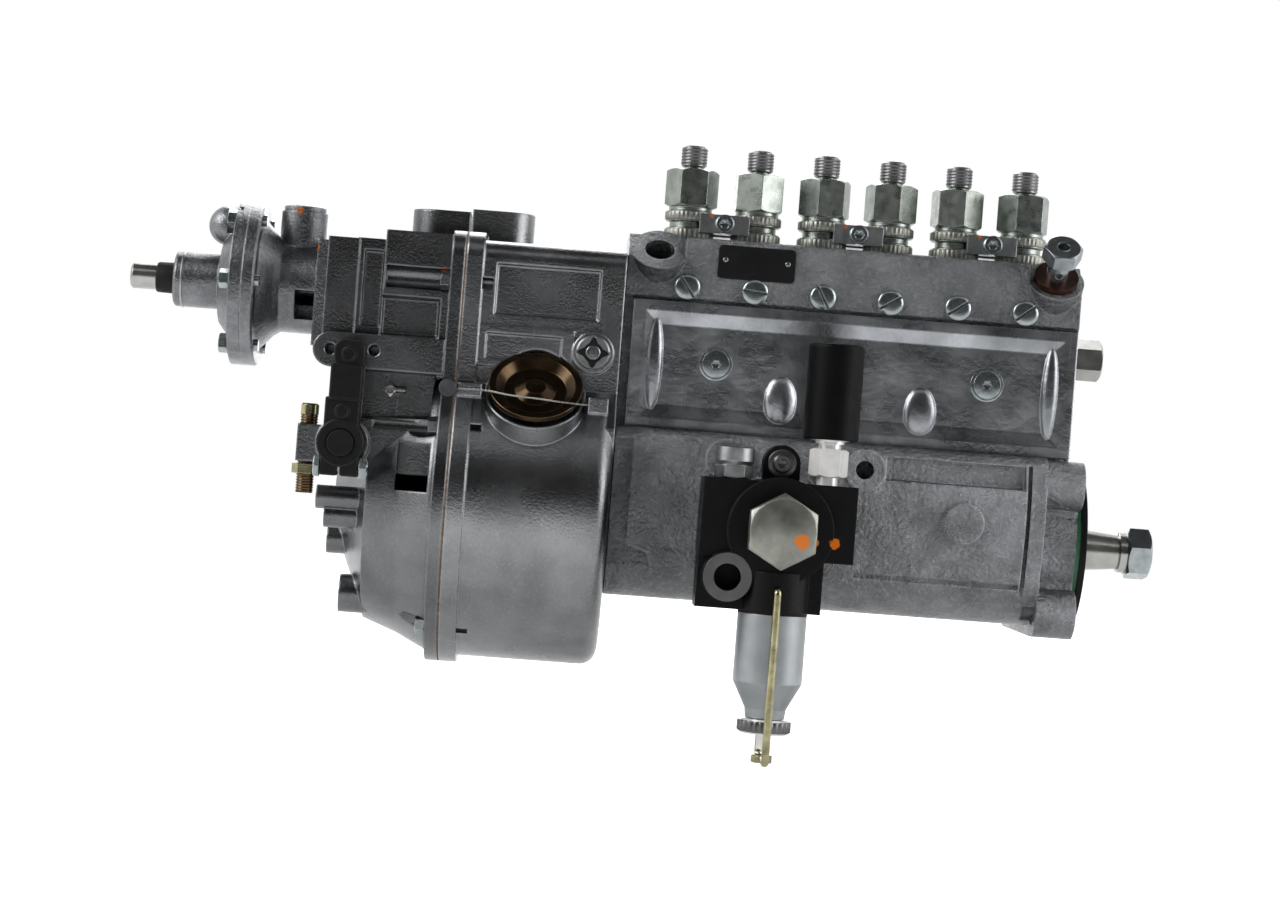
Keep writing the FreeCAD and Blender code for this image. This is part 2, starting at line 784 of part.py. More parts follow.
def lock_washer():
    ring = tube(9.6, "shaft_thread_radius + 0.1", "lock_washer_height", "taper_length", turn=RIGHT)
    return cut(ring, box("taper_length - 1", "nut_seat + 1", -1, 1, 0, 12))


def drive_nut():
    nut = hex_nut("drive_nut_flats", "drive_nut_height", spin=15)
    bore = cylinder("shaft_thread_radius + fit_clearance", 40, z=-5)
    return place(cut(nut, bore), "nut_seat", turn=RIGHT)


def drive_end_plate():
    """Round end plate whose hub carries the drive-end bearing and the shaft seal."""
    rebate = "end_plate_radius - 2.5"
    hub = "(tunnel_radius - fit_clearance)"
    seat = "(bearing_radius + fit_clearance)"
    return turned([
        ("taper_large_radius + 3", 0),
        ("end_plate_radius", 0),
        ("end_plate_radius", "flange_face - end_seal_width"),
        (rebate, "flange_face - end_seal_width"),
        (rebate, "flange_face + end_seat_depth"),
        (hub, "flange_face + end_seat_depth"),
        (hub, "flange_left"),
        (seat, "flange_left"),
        (seat, "flange_left - bearing_width"),
        (16, "flange_left - bearing_width"),
        (16, 2),
        ("taper_large_radius + 3", 2),
    ], turn=LEFT)


def end_plate_seal():
    return tube("end_plate_radius - 1", "end_plate_radius - 2.4",
                "end_seal_width + end_seat_depth", "-flange_face - end_seat_depth", turn=RIGHT)


def shaft_seal():
    return tube("16 - fit_clearance", "taper_large_radius + fit_clearance", "flange_face - 2.2",
                "-flange_face", turn=RIGHT)


# Pumping elements

def roller_tappets():
    """Roller tappets held at the top of their stroke, just clear of the turning cams."""
    shell = cylinder("tappet_radius", "tappet_head - tappet_foot", z="tappet_foot")
    slot = box(-6.2, 6.2, -20, 20, "tappet_foot - 1", "tappet_foot + 14")
    bolt = cylinder(5, "tappet_bolt_top - tappet_head + 6", z="tappet_head - 6")
    body = join(cut(shell, slot), bolt)
    roller_height = "(cam_nose_offset + cam_nose_radius + roller_radius + 0.4)"
    pin = cylinder(4, 18, -9, 0, roller_height, RIGHT)
    roller = tube("roller_radius", "4 + fit_clearance", 11.6, -5.8, 0, roller_height, RIGHT)
    solids = []
    for number in range(1, ELEMENTS + 1):
        solids.append(copy_at(join(body, pin) if number == 1 else solids[0].LinkedObject,
                              element_x(number)))
    rollers = [copy_at(roller, element_x(number)) for number in range(1, ELEMENTS + 1)]
    return group(solids + rollers)


def plunger_springs():
    spring = tube("spring_radius", "spring_radius - spring_wire", "spring_seat - tappet_head",
                  z="tappet_head")
    seat = tube("spring_radius + 0.6", "sleeve_bore + sleeve_wall + 0.2", 1.2, z="spring_seat")
    seats = [copy_at(seat, element_x(number)) for number in range(1, ELEMENTS + 1)]
    springs = [copy_at(spring, element_x(number)) for number in range(1, ELEMENTS + 1)]
    return group(springs + seats)


def plunger():
    stem = turned([
        (0, "tappet_bolt_top"), (5.5, "tappet_bolt_top"), (5.5, "tappet_bolt_top + 2"),
        (3.6, "tappet_bolt_top + 2"), (3.6, "barrel_foot - 1"), ("plunger_radius", "barrel_foot + 1"),
        ("plunger_radius", "plunger_top"), (0, "plunger_top"),
    ])
    vane = box(-8, 8, -1.5, 1.5, "sleeve_foot + 2", "sleeve_foot + 9")
    return join(stem, vane)


SECTOR_HALF = 5
RACK_TEETH = 7


def involute(radius, sign):
    """Corner of a quadrant tooth's flank, on the involute of its base circle."""
    base = "(quadrant_pitch_radius * cos(20))"
    roll = f"(acos({base} / ({radius})) / 1 deg)"
    pitch_roll = "(tan(20) * 180 / pi - 20)"
    half = "((90 * tooth_module - 90 / pi * tooth_backlash * 2) / (2 * quadrant_pitch_radius))"
    angle = f"({half} + {pitch_roll} - (tan({roll}) * 180 / pi - {roll}))"
    return (f"({sign}) * ({radius}) * sin({angle})", f"-({radius}) * cos({angle})")


def control_sleeve():
    """Sleeve with a toothed sector that meets the rack at the front."""
    outer = "(sleeve_bore + sleeve_wall)"
    root = "(quadrant_pitch_radius - 1.25 * tooth_module)"
    sleeve = turned([
        ("sleeve_bore + fit_clearance", "sleeve_foot"), (outer, "sleeve_foot"),
        (outer, "quadrant_foot"), (root, "quadrant_foot"),
        (root, "quadrant_foot + quadrant_height"),
        ("sleeve_bore + fit_clearance", "quadrant_foot + quadrant_height"),
    ])
    radii = ("quadrant_pitch_radius - 0.6 * tooth_module", "quadrant_pitch_radius",
             "quadrant_pitch_radius + tooth_module")
    left = [involute(radius, -1) for radius in radii]
    right = [involute(radius, 1) for radius in radii]
    foot = [(left[0][0], f"-{root} + 0.5"), (right[0][0], f"-{root} + 0.5")]
    tooth = prism("XY_Plane", [foot[0]] + left + right[::-1] + [foot[1]], "quadrant_height",
                  0, 0, "quadrant_foot")
    tooth_angle = 360 / (2 * SIZES["quadrant_pitch_radius"] / SIZES["tooth_module"])
    teeth = []
    for step in range(-SECTOR_HALF, SECTOR_HALF):
        turn = Rotation(Vector(0, 0, 1), (step + 0.5) * tooth_angle)
        teeth.append(copy_at(tooth, 0, 0, "quadrant_foot", turn))
    return cut(join(sleeve, *teeth), box(-20, 20, -1.6, 1.6, "sleeve_foot - 1", "sleeve_foot + 16"))


def pumping_element(number):
    """Plunger and control sleeve of one element: two solids that turn together."""
    return group([copy_at(SHARED["plunger"], element_x(number)),
                  copy_at(SHARED["sleeve"], element_x(number))])


def barrels():
    return at_each_element(turned([
        ("plunger_radius + fit_clearance", "barrel_foot"), ("sleeve_bore", "barrel_foot"),
        ("sleeve_bore", "chamber_top"), ("barrel_radius", "chamber_top + 1"),
        ("barrel_radius", "barrel_shoulder"),
        ("barrel_collar_radius", "barrel_shoulder"), ("barrel_collar_radius", "barrel_top"),
        ("plunger_radius + fit_clearance", "barrel_top"),
    ]))


def delivery_valves():
    return at_each_element(turned([
        (0, "barrel_top"), ("valve_radius", "barrel_top"), ("valve_radius", "holder_seat"),
        (4.5, "holder_seat"), (4.5, "holder_seat + 9"), (2.5, "holder_seat + 13"),
        (0, "holder_seat + 13"),
    ]))


def delivery_holders():
    collar = "holder_collar_radius"
    groove = "holder_groove_radius"
    stem = turned([
        (5.5, "holder_seat"), ("valve_radius + 0.1", "holder_seat"),
        ("valve_radius + 0.1", "barrel_top + 0.3"), ("holder_thread_radius", "barrel_top + 0.3"),
        ("holder_thread_radius", "gallery_top + 0.2"), (collar, "gallery_top + 0.4"),
        (collar, "gallery_top + 5.5"), (groove, "gallery_top + 6.2"), (groove, "gallery_top + 8.4"),
        (collar, "gallery_top + 9"), (collar, "clamp_top + 1.2"), (10.4, "clamp_top + 1.8"),
        (10.4, "holder_hex_foot + 1"), (5, "holder_hex_foot + 1"), (5, "holder_hex_top + 1"),
        ("union_radius", "holder_hex_top + 1.8"), ("union_radius", "holder_top - 1"),
        ("union_radius - 1", "holder_top"), (3.2, "holder_top"), ("union_bore", "holder_top - 3"),
        ("union_bore", "holder_hex_foot + 2"), (5.5, "holder_hex_foot - 1"),
    ])
    holders = []
    for number, spin in enumerate((3, 34, 12, 44, 40, 8), start=1):
        hexa = hex_nut("holder_hex_flats", "holder_hex_top - holder_hex_foot", spin=spin,
                       z="holder_hex_foot")
        bored = cut(hexa, cylinder(4.9, 40, z="holder_hex_foot - 10"))
        holders.append(place(join(stem, bored), element_x(number)))
    return group(holders)


def clamp_x(number):
    """Place along X of the clamp between one element and the next."""
    return f"({element_x(number)} + element_pitch / 2)"


def holder_clamps():
    jaws = []
    for number in range(1, ELEMENTS, 2):
        x = clamp_x(number)
        for side in (-1, 1):
            block = box(f"{x} - clamp_width / 2", f"{x} + clamp_width / 2",
                        "-clamp_front" if side < 0 else "clamp_inner",
                        "-clamp_inner" if side < 0 else "clamp_front", "clamp_foot", "clamp_top")
            tools = [cylinder("holder_collar_radius + fit_clearance", 30, element_x(number + step),
                              0, "clamp_foot - 5") for step in (0, 1)]
            tools.append(cylinder(3.1, 60, x, 30, "(clamp_foot + clamp_top) / 2", FRONT))
            jaws.append(cut(block, *tools))
    return group(jaws)


def clamp_screws():
    screw = socket_screw(4.6, 3.4, 3, "clamp_front + clamp_inner + 9", 1.9)
    return group([copy_at(screw, clamp_x(number), "-clamp_front",
                          "(clamp_foot + clamp_top) / 2", FRONT)
                  for number in range(1, ELEMENTS, 2)])


def rack_gap():
    """What one element's stretch of rack loses: a flat with its teeth left standing."""
    root = "(-quadrant_pitch_radius - 1.25 * tooth_module)"
    tip = "(-quadrant_pitch_radius + tooth_module)"
    half_pitch_line = "(pi * tooth_module / 4 - tooth_backlash / 2)"
    half_tip = f"({half_pitch_line} - tooth_module * tan(20))"
    half_root = f"({half_pitch_line} + 1.25 * tooth_module * tan(20))"
    outline = [("-element_pitch / 2", 0), ("-element_pitch / 2", root)]
    for step in range(RACK_TEETH):
        middle = f"({step - (RACK_TEETH - 1) / 2} * pi * tooth_module)"
        outline += [(f"{middle} - {half_root}", root), (f"{middle} - {half_tip}", tip),
                    (f"{middle} + {half_tip}", tip), (f"{middle} + {half_root}", root)]
    outline += [("element_pitch / 2", root), ("element_pitch / 2", 0)]
    return prism("XY_Plane", outline, 14, 0, 0, "rack_height - 7")


def control_rack():
    rod = cylinder("rack_radius", "-housing_left - upper_inset + 15", "housing_left - 17",
                   "-rack_offset", "rack_height", RIGHT)
    gap = rack_gap()
    gaps = [copy_at(gap, element_x(number), 0, "rack_height - 7")
            for number in range(1, ELEMENTS + 1)]
    return cut(rod, *gaps)


# Governor

def governor_outline(margin):
    """Upper part of the governor section, grown outwards by a margin."""
    half = f"(governor_half + {margin})"
    top = f"(governor_top + {margin})"
    reach = f"(sqrt(drum_radius ^ 2 - shoulder_low ^ 2) - 1 + {margin})"
    corner = f"(8.5 + {margin})"
    return [
        (f"-{reach}", 0), (reach, 0), (reach, "shoulder_low"), (half, "shoulder_high"),
        (half, f"{top} - {corner}"), (f"{half} - {corner}", top, corner),
        (f"-{half} + {corner}", top), (f"-{half}", f"{top} - {corner}", corner),
        (f"-{half}", "shoulder_high"), (f"-{reach}", "shoulder_low"),
    ]


def seam_plate(thickness, x, margin):
    """A plate with the governor's outline: the round drum joined to its upper box."""
    return join(prism("YZ_Plane", governor_outline(margin), thickness, x),
                cylinder(f"drum_radius + {margin}", thickness, x, turn=RIGHT))


def drum_profile(margin, length, corner):
    radius = f"(drum_radius + {margin})"
    return [(0, 0), (radius, 0), (radius, f"{length} - {corner}"),
            (f"{radius} - {corner}", length, corner), (0, length)]


def governor_housing():
    outer = [
        turned(drum_profile("0", "governor_length", "drum_corner"), "governor_seam", turn=RIGHT),
        prism("YZ_Plane", governor_outline(0), "governor_length", "governor_seam"),
        seam_plate("seam_flange", "governor_seam", "seam_lip"),
        box("governor_seam", "breather_right_x - breather_half", "-breather_half",
            "breather_half", "governor_top - 4", "breather_top"),
        cylinder("breather_half", "breather_top - governor_top + 4",
                 "breather_right_x - breather_half", 0, "governor_top - 4"),
        cylinder("cap_radius + 1.5", 16, "cap_x", "-cap_offset + 16 * cos(45)",
                 "cap_height - 16 * cos(45)", SHOULDER),
        cylinder("plug_radius + 1.6", 12, "plug_x", "-governor_half + 8", "plug_height", FRONT),
        box("governor_seam + 6", "plug_x - 9", "-governor_half - 2.6", "-governor_half + 4",
            65, 84),
        box("cap_x + cap_radius + 3", "cap_x + cap_radius + 12",
            "-wire_offset - 1.5", "-governor_half", 46.5, 53.5),
        box("governor_seam + 1", "governor_seam + 12", "-wire_offset + 2.2", "-governor_half",
            50, 56),
    ]
    inner = [
        recess("governor_seam + 15", "governor_right - 12", 90, 112, "-governor_half + 1.6",
               "-governor_half - 1", 1.5),
        recess("governor_seam + 12", "plug_x - 15", 69, 80, "-governor_half - 1.2",
               "-governor_half - 4", 1),
        turned(drum_profile("-drum_wall", "(governor_length - drum_wall)", "drum_corner"),
               "governor_seam - 1", turn=RIGHT),
        prism("YZ_Plane", governor_outline("-drum_wall"), "governor_length - drum_wall",
              "governor_seam - 1"),
        cylinder(13, 40, "governor_right - 20", turn=RIGHT),
        cylinder("rack_radius + 1", 40, "governor_right - 20", "-rack_offset", "rack_height", RIGHT),
        cylinder("plug_radius - 1.5", 30, "plug_x", "-governor_half + 12", "plug_height", FRONT),
        cylinder("cap_radius - 7", 30, "cap_x", "-cap_offset + 29 * cos(45)",
                 "cap_height - 29 * cos(45)", SHOULDER),
        cylinder("cap_radius + 0.6", 24, "cap_x", "-cap_offset", "cap_height", SHOULDER),
        cylinder(0.9, 5, "cap_x + cap_radius + 2", "-wire_offset + 1.2", 50, RIGHT),
    ]
    return cut(join(*outer), *inner, *screw_holes("governor_seam - 1", 14))


# Governor screws, across and up from the camshaft axis
GOVERNOR_SCREWS = ((-60.6, 35), (60.6, 35), (-42, -56.5), (42, -56.5), (-44.5, 103), (44.5, 103))


def screw_holes(x, length, radius=2.9):
    return [cylinder(radius, length, x, across, level, RIGHT)
            for across, level in GOVERNOR_SCREWS]


def governor_gaskets():
    seam = cut(seam_plate("gasket", "cover_seam", "seam_lip"),
               cylinder("drum_radius - drum_wall", 3, "cover_seam - 1", turn=RIGHT),
               prism("YZ_Plane", governor_outline("-drum_wall"), 3, "cover_seam - 1"),
               *screw_holes("cover_seam - 1", 3))
    joint = cut(box("governor_right", "housing_left", "-cover_seat", "cover_seat",
                    "-case_floor + 1", "governor_top - 1"),
                cylinder("bearing_radius + 2", 5, "governor_right - 2", turn=RIGHT),
                cylinder("rack_radius + 1", 5, "governor_right - 2", "-rack_offset",
                         "rack_height", RIGHT))
    return group([seam, joint])


DOME = ((71, 1), (64, 15), (58, 31), (42, 37), (15, 48))


def dome(margin):
    """The cover's domed end. A negative margin gives the hollow inside it."""
    first = 0 if margin == "0" else -1
    radius, height = DOME[0]
    corners = [(0, first), (f"{radius} + {margin}", first)]
    corners += [(f"{radius} + {margin}", f"{height} + {margin}")] if first == 0 else []
    corners += [(f"{radius} + {margin}", f"{height} + {margin}") for radius, height in DOME[1:]]
    corners.append((0, f"{DOME[-1][1] + 1} + {margin}"))
    return turned(corners, "cover_plate_left", turn=LEFT)


def reach(distance):
    """A place along X, counted outwards from the seam of the governor cover."""
    return f"(cover_seam - ({distance}))"


def cover_hollow():
    mouth = seam_plate("cover_plate + 1", "cover_plate_left", "-drum_wall")
    upper = box(reach("box_reach - cover_wall"), "cover_seam + 1", "-box_half + cover_wall",
                "box_half - cover_wall", 40, "box_top - cover_wall")
    kept = box(reach("bracket_reach"), "cover_seam + 1", -90, "-pocket_floor + cover_wall",
               "bracket_floor", "ledge_floor + cover_wall")
    return cut(join(mouth, dome("-cover_wall"), upper), kept)


def governor_cover():
    bracket_front = "(-ledge_front)"
    solids = [
        seam_plate("cover_plate", "cover_plate_left", "seam_lip"),
        dome("0"),
        box(reach("box_reach"), "cover_plate_left", "-box_half", "box_half", 50, "box_top"),
        box(reach("step_reach"), "cover_plate_left", "-box_half - 3", "box_half + 3", 58,
            "step_top - 1.5"),
        box(reach("mouth_reach + mouth_thickness"), reach("box_reach - 1"), "-box_half - 2",
            "box_half + 2", "mouth_floor", "mouth_top"),
        box(reach("ledge_reach"), "cover_plate_left", bracket_front, -30, "ledge_floor",
            "ledge_top"),
        cylinder("(ledge_top - ledge_floor) / 2", "ledge_front - 30", reach("ledge_reach"), -30,
                 "(ledge_top + ledge_floor) / 2", FRONT),
        box(reach("bracket_reach"), reach(17), bracket_front, -20, "bracket_floor", "bracket_top"),
        box(reach("bracket_reach"), reach(42), "-pocket_floor - 4", -20, "bracket_top - 1",
            "ledge_floor + 1"),
        cylinder(12, "ledge_front - 12", "lever_x", -20, "lever_height", FRONT),
        box("stop_x - 4.5", "stop_x + 8", -63, -20, 15, 32),
        box("breather_left_x + breather_half", "cover_seam", "-breather_half", "breather_half",
            "governor_top - 4", "breather_top - 1.5"),
        cylinder("breather_half", "breather_top - governor_top + 2.5",
                 "breather_left_x + breather_half", 0, "governor_top - 4"),
        cylinder(5.5, 22, reach(38), -45, -1, LEFT),
        cylinder(6, 20, reach(36), -42, -9, LEFT),
        cylinder(7, 14, reach(42), -14, -21, LEFT),
        cylinder(9, 22, reach(26), -20, -46, LEFT),
    ]
    boss = cylinder(12, 30, "lever_x", -26, "lever_height", FRONT)
    tools = [
        cylinder("lever_shaft_radius + fit_clearance", 60, "lever_x", -12, "lever_height", FRONT),
        cylinder(4.2, 60, "stop_x", -57, -10),
        cylinder(9, 32, reach(72.9), 0, "boost_height", RIGHT),
        box(reach(41), reach(10), -90, "-pocket_floor", "bracket_top + 1.5", "ledge_floor"),
        box(reach(23.5), reach(8.5), -90, -50, 5, 27),
        recess(reach(36), reach(11), 77, 93, "-box_half + 1", "-box_half - 4", 1.5),
        recess(reach(46), reach(38), 80, 114, "-box_half + 1.5", "-box_half - 0.5", 1),
        cylinder(2.6, 14, reach("ledge_reach"), "-ledge_front + 12",
                 "(ledge_top + ledge_floor) / 2", FRONT),
        cylinder(2.6, 14, reach("ledge_reach - 20"), "-ledge_front + 12",
                 "(ledge_top + ledge_floor) / 2 + 0.7", FRONT),
    ]
    shell = join(cut(join(*solids), cover_hollow()), boss)
    return cut(shell, *tools, *screw_holes("cover_plate_left - 1", 12),
               *screw_holes("cover_plate_left - 30", 30, 5.2))


def casing_screws():
    """Hexagon screws of the governor cover and of the boost compensator."""
    screw = join(hex_nut(8, 4.5), cylinder(2.8, 14.5, z=-14))
    screws = [copy_at(screw, "cover_plate_left", across, level, LEFT)
              for across, level in GOVERNOR_SCREWS]
    for index in range(6):
        angle = 60 * index
        screws.append(copy_at(screw, "boost_x - boost_plate",
                              f"boost_bolt_circle * cos({angle})",
                              f"boost_height + boost_bolt_circle * sin({angle})", LEFT))
    return group(screws)


def vent_plug():
    blank = turned([(0, -6), ("plug_radius - 1.6", -6), ("plug_radius - 1.6", 0), ("plug_radius", 0),
                    ("plug_radius", 2), ("plug_radius - 0.8", 2.8), (0, 2.8)])
    slots = [slab(20, 1.6, 3, -10, -0.8, 1.2, UP), slab(1.6, 20, 3, -0.8, -10, 1.2, UP)]
    plug = cut(blank, *slots)
    button = cylinder(3.2, 1.6, z=1.2)
    return place(join(plug, button), "plug_x", "-governor_half - 4", "plug_height", FRONT)


def cup_cap():
    """A dished sheet-metal cap with a beaded rim, set on the 45 degree shoulder."""
    rim = "cap_radius"
    return turned([
        (0, 3.6), (4, 3), (9, 0.4), (f"{rim} - 8", 0), (f"{rim} - 6", 0), (f"{rim} - 2.6", 2.6),
        (rim, 2.4), (rim, 5), (f"{rim} - 3.4", 5.2), (f"{rim} - 7", 1.4), (9.6, 1.4),
        (4.6, 4.2), (0, 4.8),
    ], "cap_x", "-cap_offset", "cap_height", SHOULDER)


def lead_seal():
    return turned([(0, 0), (3.6, 0), (4, 0.4), (4, 3.4), (3.6, 3.8), (0, 3.8)],
                  "governor_seam - 3.3", "-wire_offset + 2", 53, FRONT)


def along(route, radius, bend=None):
    """A round wire along straight runs joined by tangent arcs. Without a bend radius each arc
    is as large as its two runs allow."""
    edges = []
    here = route[0]
    for before, corner, after in zip(route, route[1:], route[2:]):
        run_in = corner - before
        run_out = after - corner
        half_turn = run_in.getAngle(run_out) / 2
        back_off = 0.45 * min(run_in.Length, run_out.Length)
        if bend:
            back_off = bend * math.tan(half_turn)
        arc_start = corner - run_in.normalize() * back_off
        arc_end = corner + run_out.normalize() * back_off
        bend_radius = back_off / math.tan(half_turn)
        towards = ((arc_start + arc_end) * 0.5 - corner).normalize()
        arc_middle = corner + towards * (math.hypot(bend_radius, back_off) - bend_radius)
        print("wire bend radius", round(bend_radius, 1), "mm")
        edges.append(Part.LineSegment(here, arc_start).toShape())
        edges.append(Part.Arc(arc_start, arc_middle, arc_end).toShape())
        here = arc_end
    edges.append(Part.LineSegment(here, route[-1]).toShape())
    path = Part.Wire(edges)
    circle = Part.Circle(route[0], route[1] - route[0], radius).toShape()
    wire = path.makePipeShell([Part.Wire([circle])], True, False)
    print("wire volume", round(wire.Volume, 2),
          "of", round(math.pi * radius ** 2 * path.Length, 2))
    thing = doc.addObject("Part::Feature", "Wire")
    thing.Shape = wire
    return thing


def seal_wire():
    """Sealing wire from the lead seal across the cap to the lug."""
    left = value("governor_seam") + 0.75
    right = value("cap_x + cap_radius") + 5
    front = -value("wire_offset")
    route = [
        Vector(left, front, 53), Vector(left + 12, front - 0.8, 53.6),
        Vector(left + 24, front - 2.2, 51.6), Vector(left + 37, front - 1.6, 51.2),
        Vector(left + 48, front - 0.4, 50.4), Vector(right, front + 1.2, 50),
    ]
    return along(route, 0.5)


def control_lever():
    shaft_hole = cylinder("lever_shaft_radius + fit_clearance", 40, "lever_x", -50,
                          "lever_height", FRONT)
    thickness = "lever_front - lever_back"
    forms = [
        cylinder(10.8, thickness, "lever_x", "-lever_back", "lever_height", FRONT),
        box("lever_x - 7.5", "lever_x + 9", "-lever_front", "-lever_back",
            "lever_height", "lever_height + lever_arm + 2"),
        cylinder(8.5, thickness, "lever_x + 2.4", "-lever_back", "lever_height + lever_arm", FRONT),
        box("lever_x - 7.5", "lever_x + 12.5", "-lever_front", "-lever_back",
            "lever_height - 15", "lever_height"),
    ]
    tools = [
        shaft_hole,
        box("lever_x - 0.8", "lever_x + 0.8", "-lever_front - 1", "-lever_back + 1",
            "lever_height - 20", "lever_height"),
        cylinder(3, 30, "lever_x + 0.8", -50, "lever_height + 17", FRONT),
        cylinder(2.2, 40, "lever_x - 20", "-(lever_front + lever_back) / 2",
                 "lever_height - 11", RIGHT),
    ]
    return cut(join(*forms), *tools)


def lever_shaft():
    return cylinder("lever_shaft_radius", "lever_front - 19", "lever_x", -20, "lever_height", FRONT)


def stop_screws():
    """The upright stop screw with its lock nut, on the bracket beside the lever."""
    screw = turned([(0, -4), (4.1, -4), (4.1, 40), (3.2, 41), (0, 41)], "stop_x", -57, 0)
    nut = cut(hex_nut(11, 5), cylinder(4.15, 20, z=-5))
    return group([screw, place(nut, "stop_x", -57, 9)])


# Governor mechanism

def flyweight_carrier():
    """Carrier driven by the camshaft, with a fork on each side for a flyweight's pin."""
    hinge_x = "(governor_right - weight_hinge_inset)"
    hub = tube(14, "governor_shaft_radius + fit_clearance", 6, f"{hinge_x} + 5", turn=RIGHT)
    web = box(f"{hinge_x} + 5", f"{hinge_x} + 10", -13, 13, "-weight_hinge_height - 4",
              "weight_hinge_height + 4")
    web_hole = cylinder("governor_shaft_radius + fit_clearance", 20, f"{hinge_x} - 2", turn=RIGHT)
    forms = [hub, cut(web, web_hole)]
    for side in (-1, 1):
        for edge in (-13, 9):
            ear = box(f"{hinge_x} - 5", f"{hinge_x} + 5.5", edge, edge + 4,
                      f"{side} * weight_hinge_height - 5", f"{side} * weight_hinge_height + 5")
            forms.append(ear)
        forms.append(cylinder(2.5, 26, hinge_x, 13, f"{side} * weight_hinge_height", FRONT))
    return join(*forms)


def flyweight(side):
    """A bell crank: a heavy arm along the shaft and a toe that pushes the sleeve."""
    hinge_x = "(governor_right - weight_hinge_inset)"
    height = f"({side} * weight_hinge_height)"
    low, high = (-3, 17) if side > 0 else (-17, 3)
    arm = box(f"{hinge_x} - 34", f"{hinge_x} - 1", -8.6, 8.6, f"{height} + {low}",
              f"{height} + {high}")
    knuckle = cylinder(4.5, 17.2, hinge_x, 8.6, height, FRONT)
    toe_low, toe_high = ("-weight_toe", 0) if side > 0 else (0, "weight_toe")
    toe = box(f"{hinge_x} - 4", f"{hinge_x} - 1", -3, 3, f"{height} + {toe_low}",
              f"{height} + {toe_high}")
    bore = cylinder("2.5 + fit_clearance", 40, hinge_x, 20, height, FRONT)
    return cut(join(arm, knuckle, toe), bore)


def governor_sleeve():
    length = "sleeve_length"
    return turned([
        ("governor_shaft_radius + fit_clearance", 0), (16, 0), (16, 3), (11.5, 3),
        (11.5, length), ("governor_shaft_radius + fit_clearance", length),
    ], "hinge_x - 4.3", turn=LEFT)


# Boost compensator

def compensator_body():
    neck = "boost_neck_radius"
    shell = turned([
        (0, 0), ("boost_disc_radius", 0), ("boost_disc_radius", "boost_plate - 1"),
        ("boost_disc_radius - 1", "boost_plate"), (31, "boost_plate"), (f"{neck} + 2", 13),
        (neck, 16), (neck, "boost_body_length"), (0, "boost_body_length"),
    ], "boost_x", 0, "boost_height", RIGHT)
    mouth_left = reach("mouth_reach + mouth_thickness")
    foot = box("boost_x + boost_body_length - 0.5", mouth_left, -24, 24, 69, 119)
    stub = cylinder("stub_radius", "stub_height", "stub_x", 0, "boost_height")
    window = box("stub_x - 0.1", "boost_x + boost_body_length - 0.6", -30, 0, 81, 94.5)
    chamber = turned([(0, -1), ("boost_cavity", -1), ("boost_cavity", 6), (8, 10), (8, 60), (0, 60)],
                     "boost_x", 0, "boost_height", RIGHT)
    bore = cylinder(7, 40, "stub_x", 0, "boost_height + 5")
    return cut(join(shell, foot, stub), window, chamber, bore, *boost_holes())


def boost_holes():
    return [cylinder(2.9, 40, "boost_x - 20", f"boost_bolt_circle * cos({60 * index})",
                     f"boost_height + boost_bolt_circle * sin({60 * index})", RIGHT)
            for index in range(6)]


def compensator_cover():
    """Cover with the pin's boss and a rounded air horn above it."""
    boss = "boost_boss_radius"
    shell = turned([
        (0, 0), ("boost_disc_radius", 0), ("boost_disc_radius", "boost_plate"),
        (29, "boost_plate"), (20, "boost_plate + 7"), (boss, "boost_plate + 8"),
        (boss, "boost_boss_length - 1"), (f"{boss} - 1", "boost_boss_length"),
        (0, "boost_boss_length"),
    ], "boost_x", 0, "boost_height", LEFT)
    horn_x = "(boost_x - horn_inset)"
    horn = turned([(0, 0), ("horn_radius", 0), ("horn_radius", "horn_inset + 1.5"),
                   (0, "horn_inset + 1.5 + horn_radius", "horn_radius")],
                  "boost_x", 0, "boost_height + horn_height", LEFT)
    bore = cylinder("boost_pin_radius + fit_clearance", 60, "boost_x - 50", 0,
                    "boost_height", RIGHT)
    chamber = turned([(0, -1), ("boost_cavity", -1), ("boost_cavity", 4), (14, 9), (0, 9)],
                     "boost_x", 0, "boost_height", LEFT)
    horn_bore = join(cylinder(4.5, 20, horn_x, 0, "boost_height + horn_height - 2"),
                     cylinder(3, "horn_inset + 1", "boost_x - horn_inset", 0,
                              "boost_height + horn_height - 4", RIGHT))
    notch = box("boost_x - 11.5", "boost_x - 3.6", -20, -6, "boost_height + 23",
                "boost_height + 35")
    return cut(join(shell, horn), bore, chamber, horn_bore, notch, *boost_holes())


def boost_rod():
    """The compensator's pin with the diaphragm's disc."""
    disc = 22
    split = "boost_pin_length"
    end = "(boost_pin_length + boost_body_length)"
    return turned([
        (0, 0), ("boost_pin_radius - 1", 0), ("boost_pin_radius", 1),
        ("boost_pin_radius", f"{split} - 3"), (disc, f"{split} - 3"), (disc, split),
        (4, f"{split} + 1"), (4, end), (0, end),
    ], "boost_x - boost_pin_length", 0, "boost_height", RIGHT)


def stub_plug():
    return turned([(0, -5), (6.9, -5), (6.9, 0), (10, 0), (10, 2.4), (8.6, 3), (0, 3)],
                  "stub_x", 0, "boost_height + stub_height")


# Feed pump

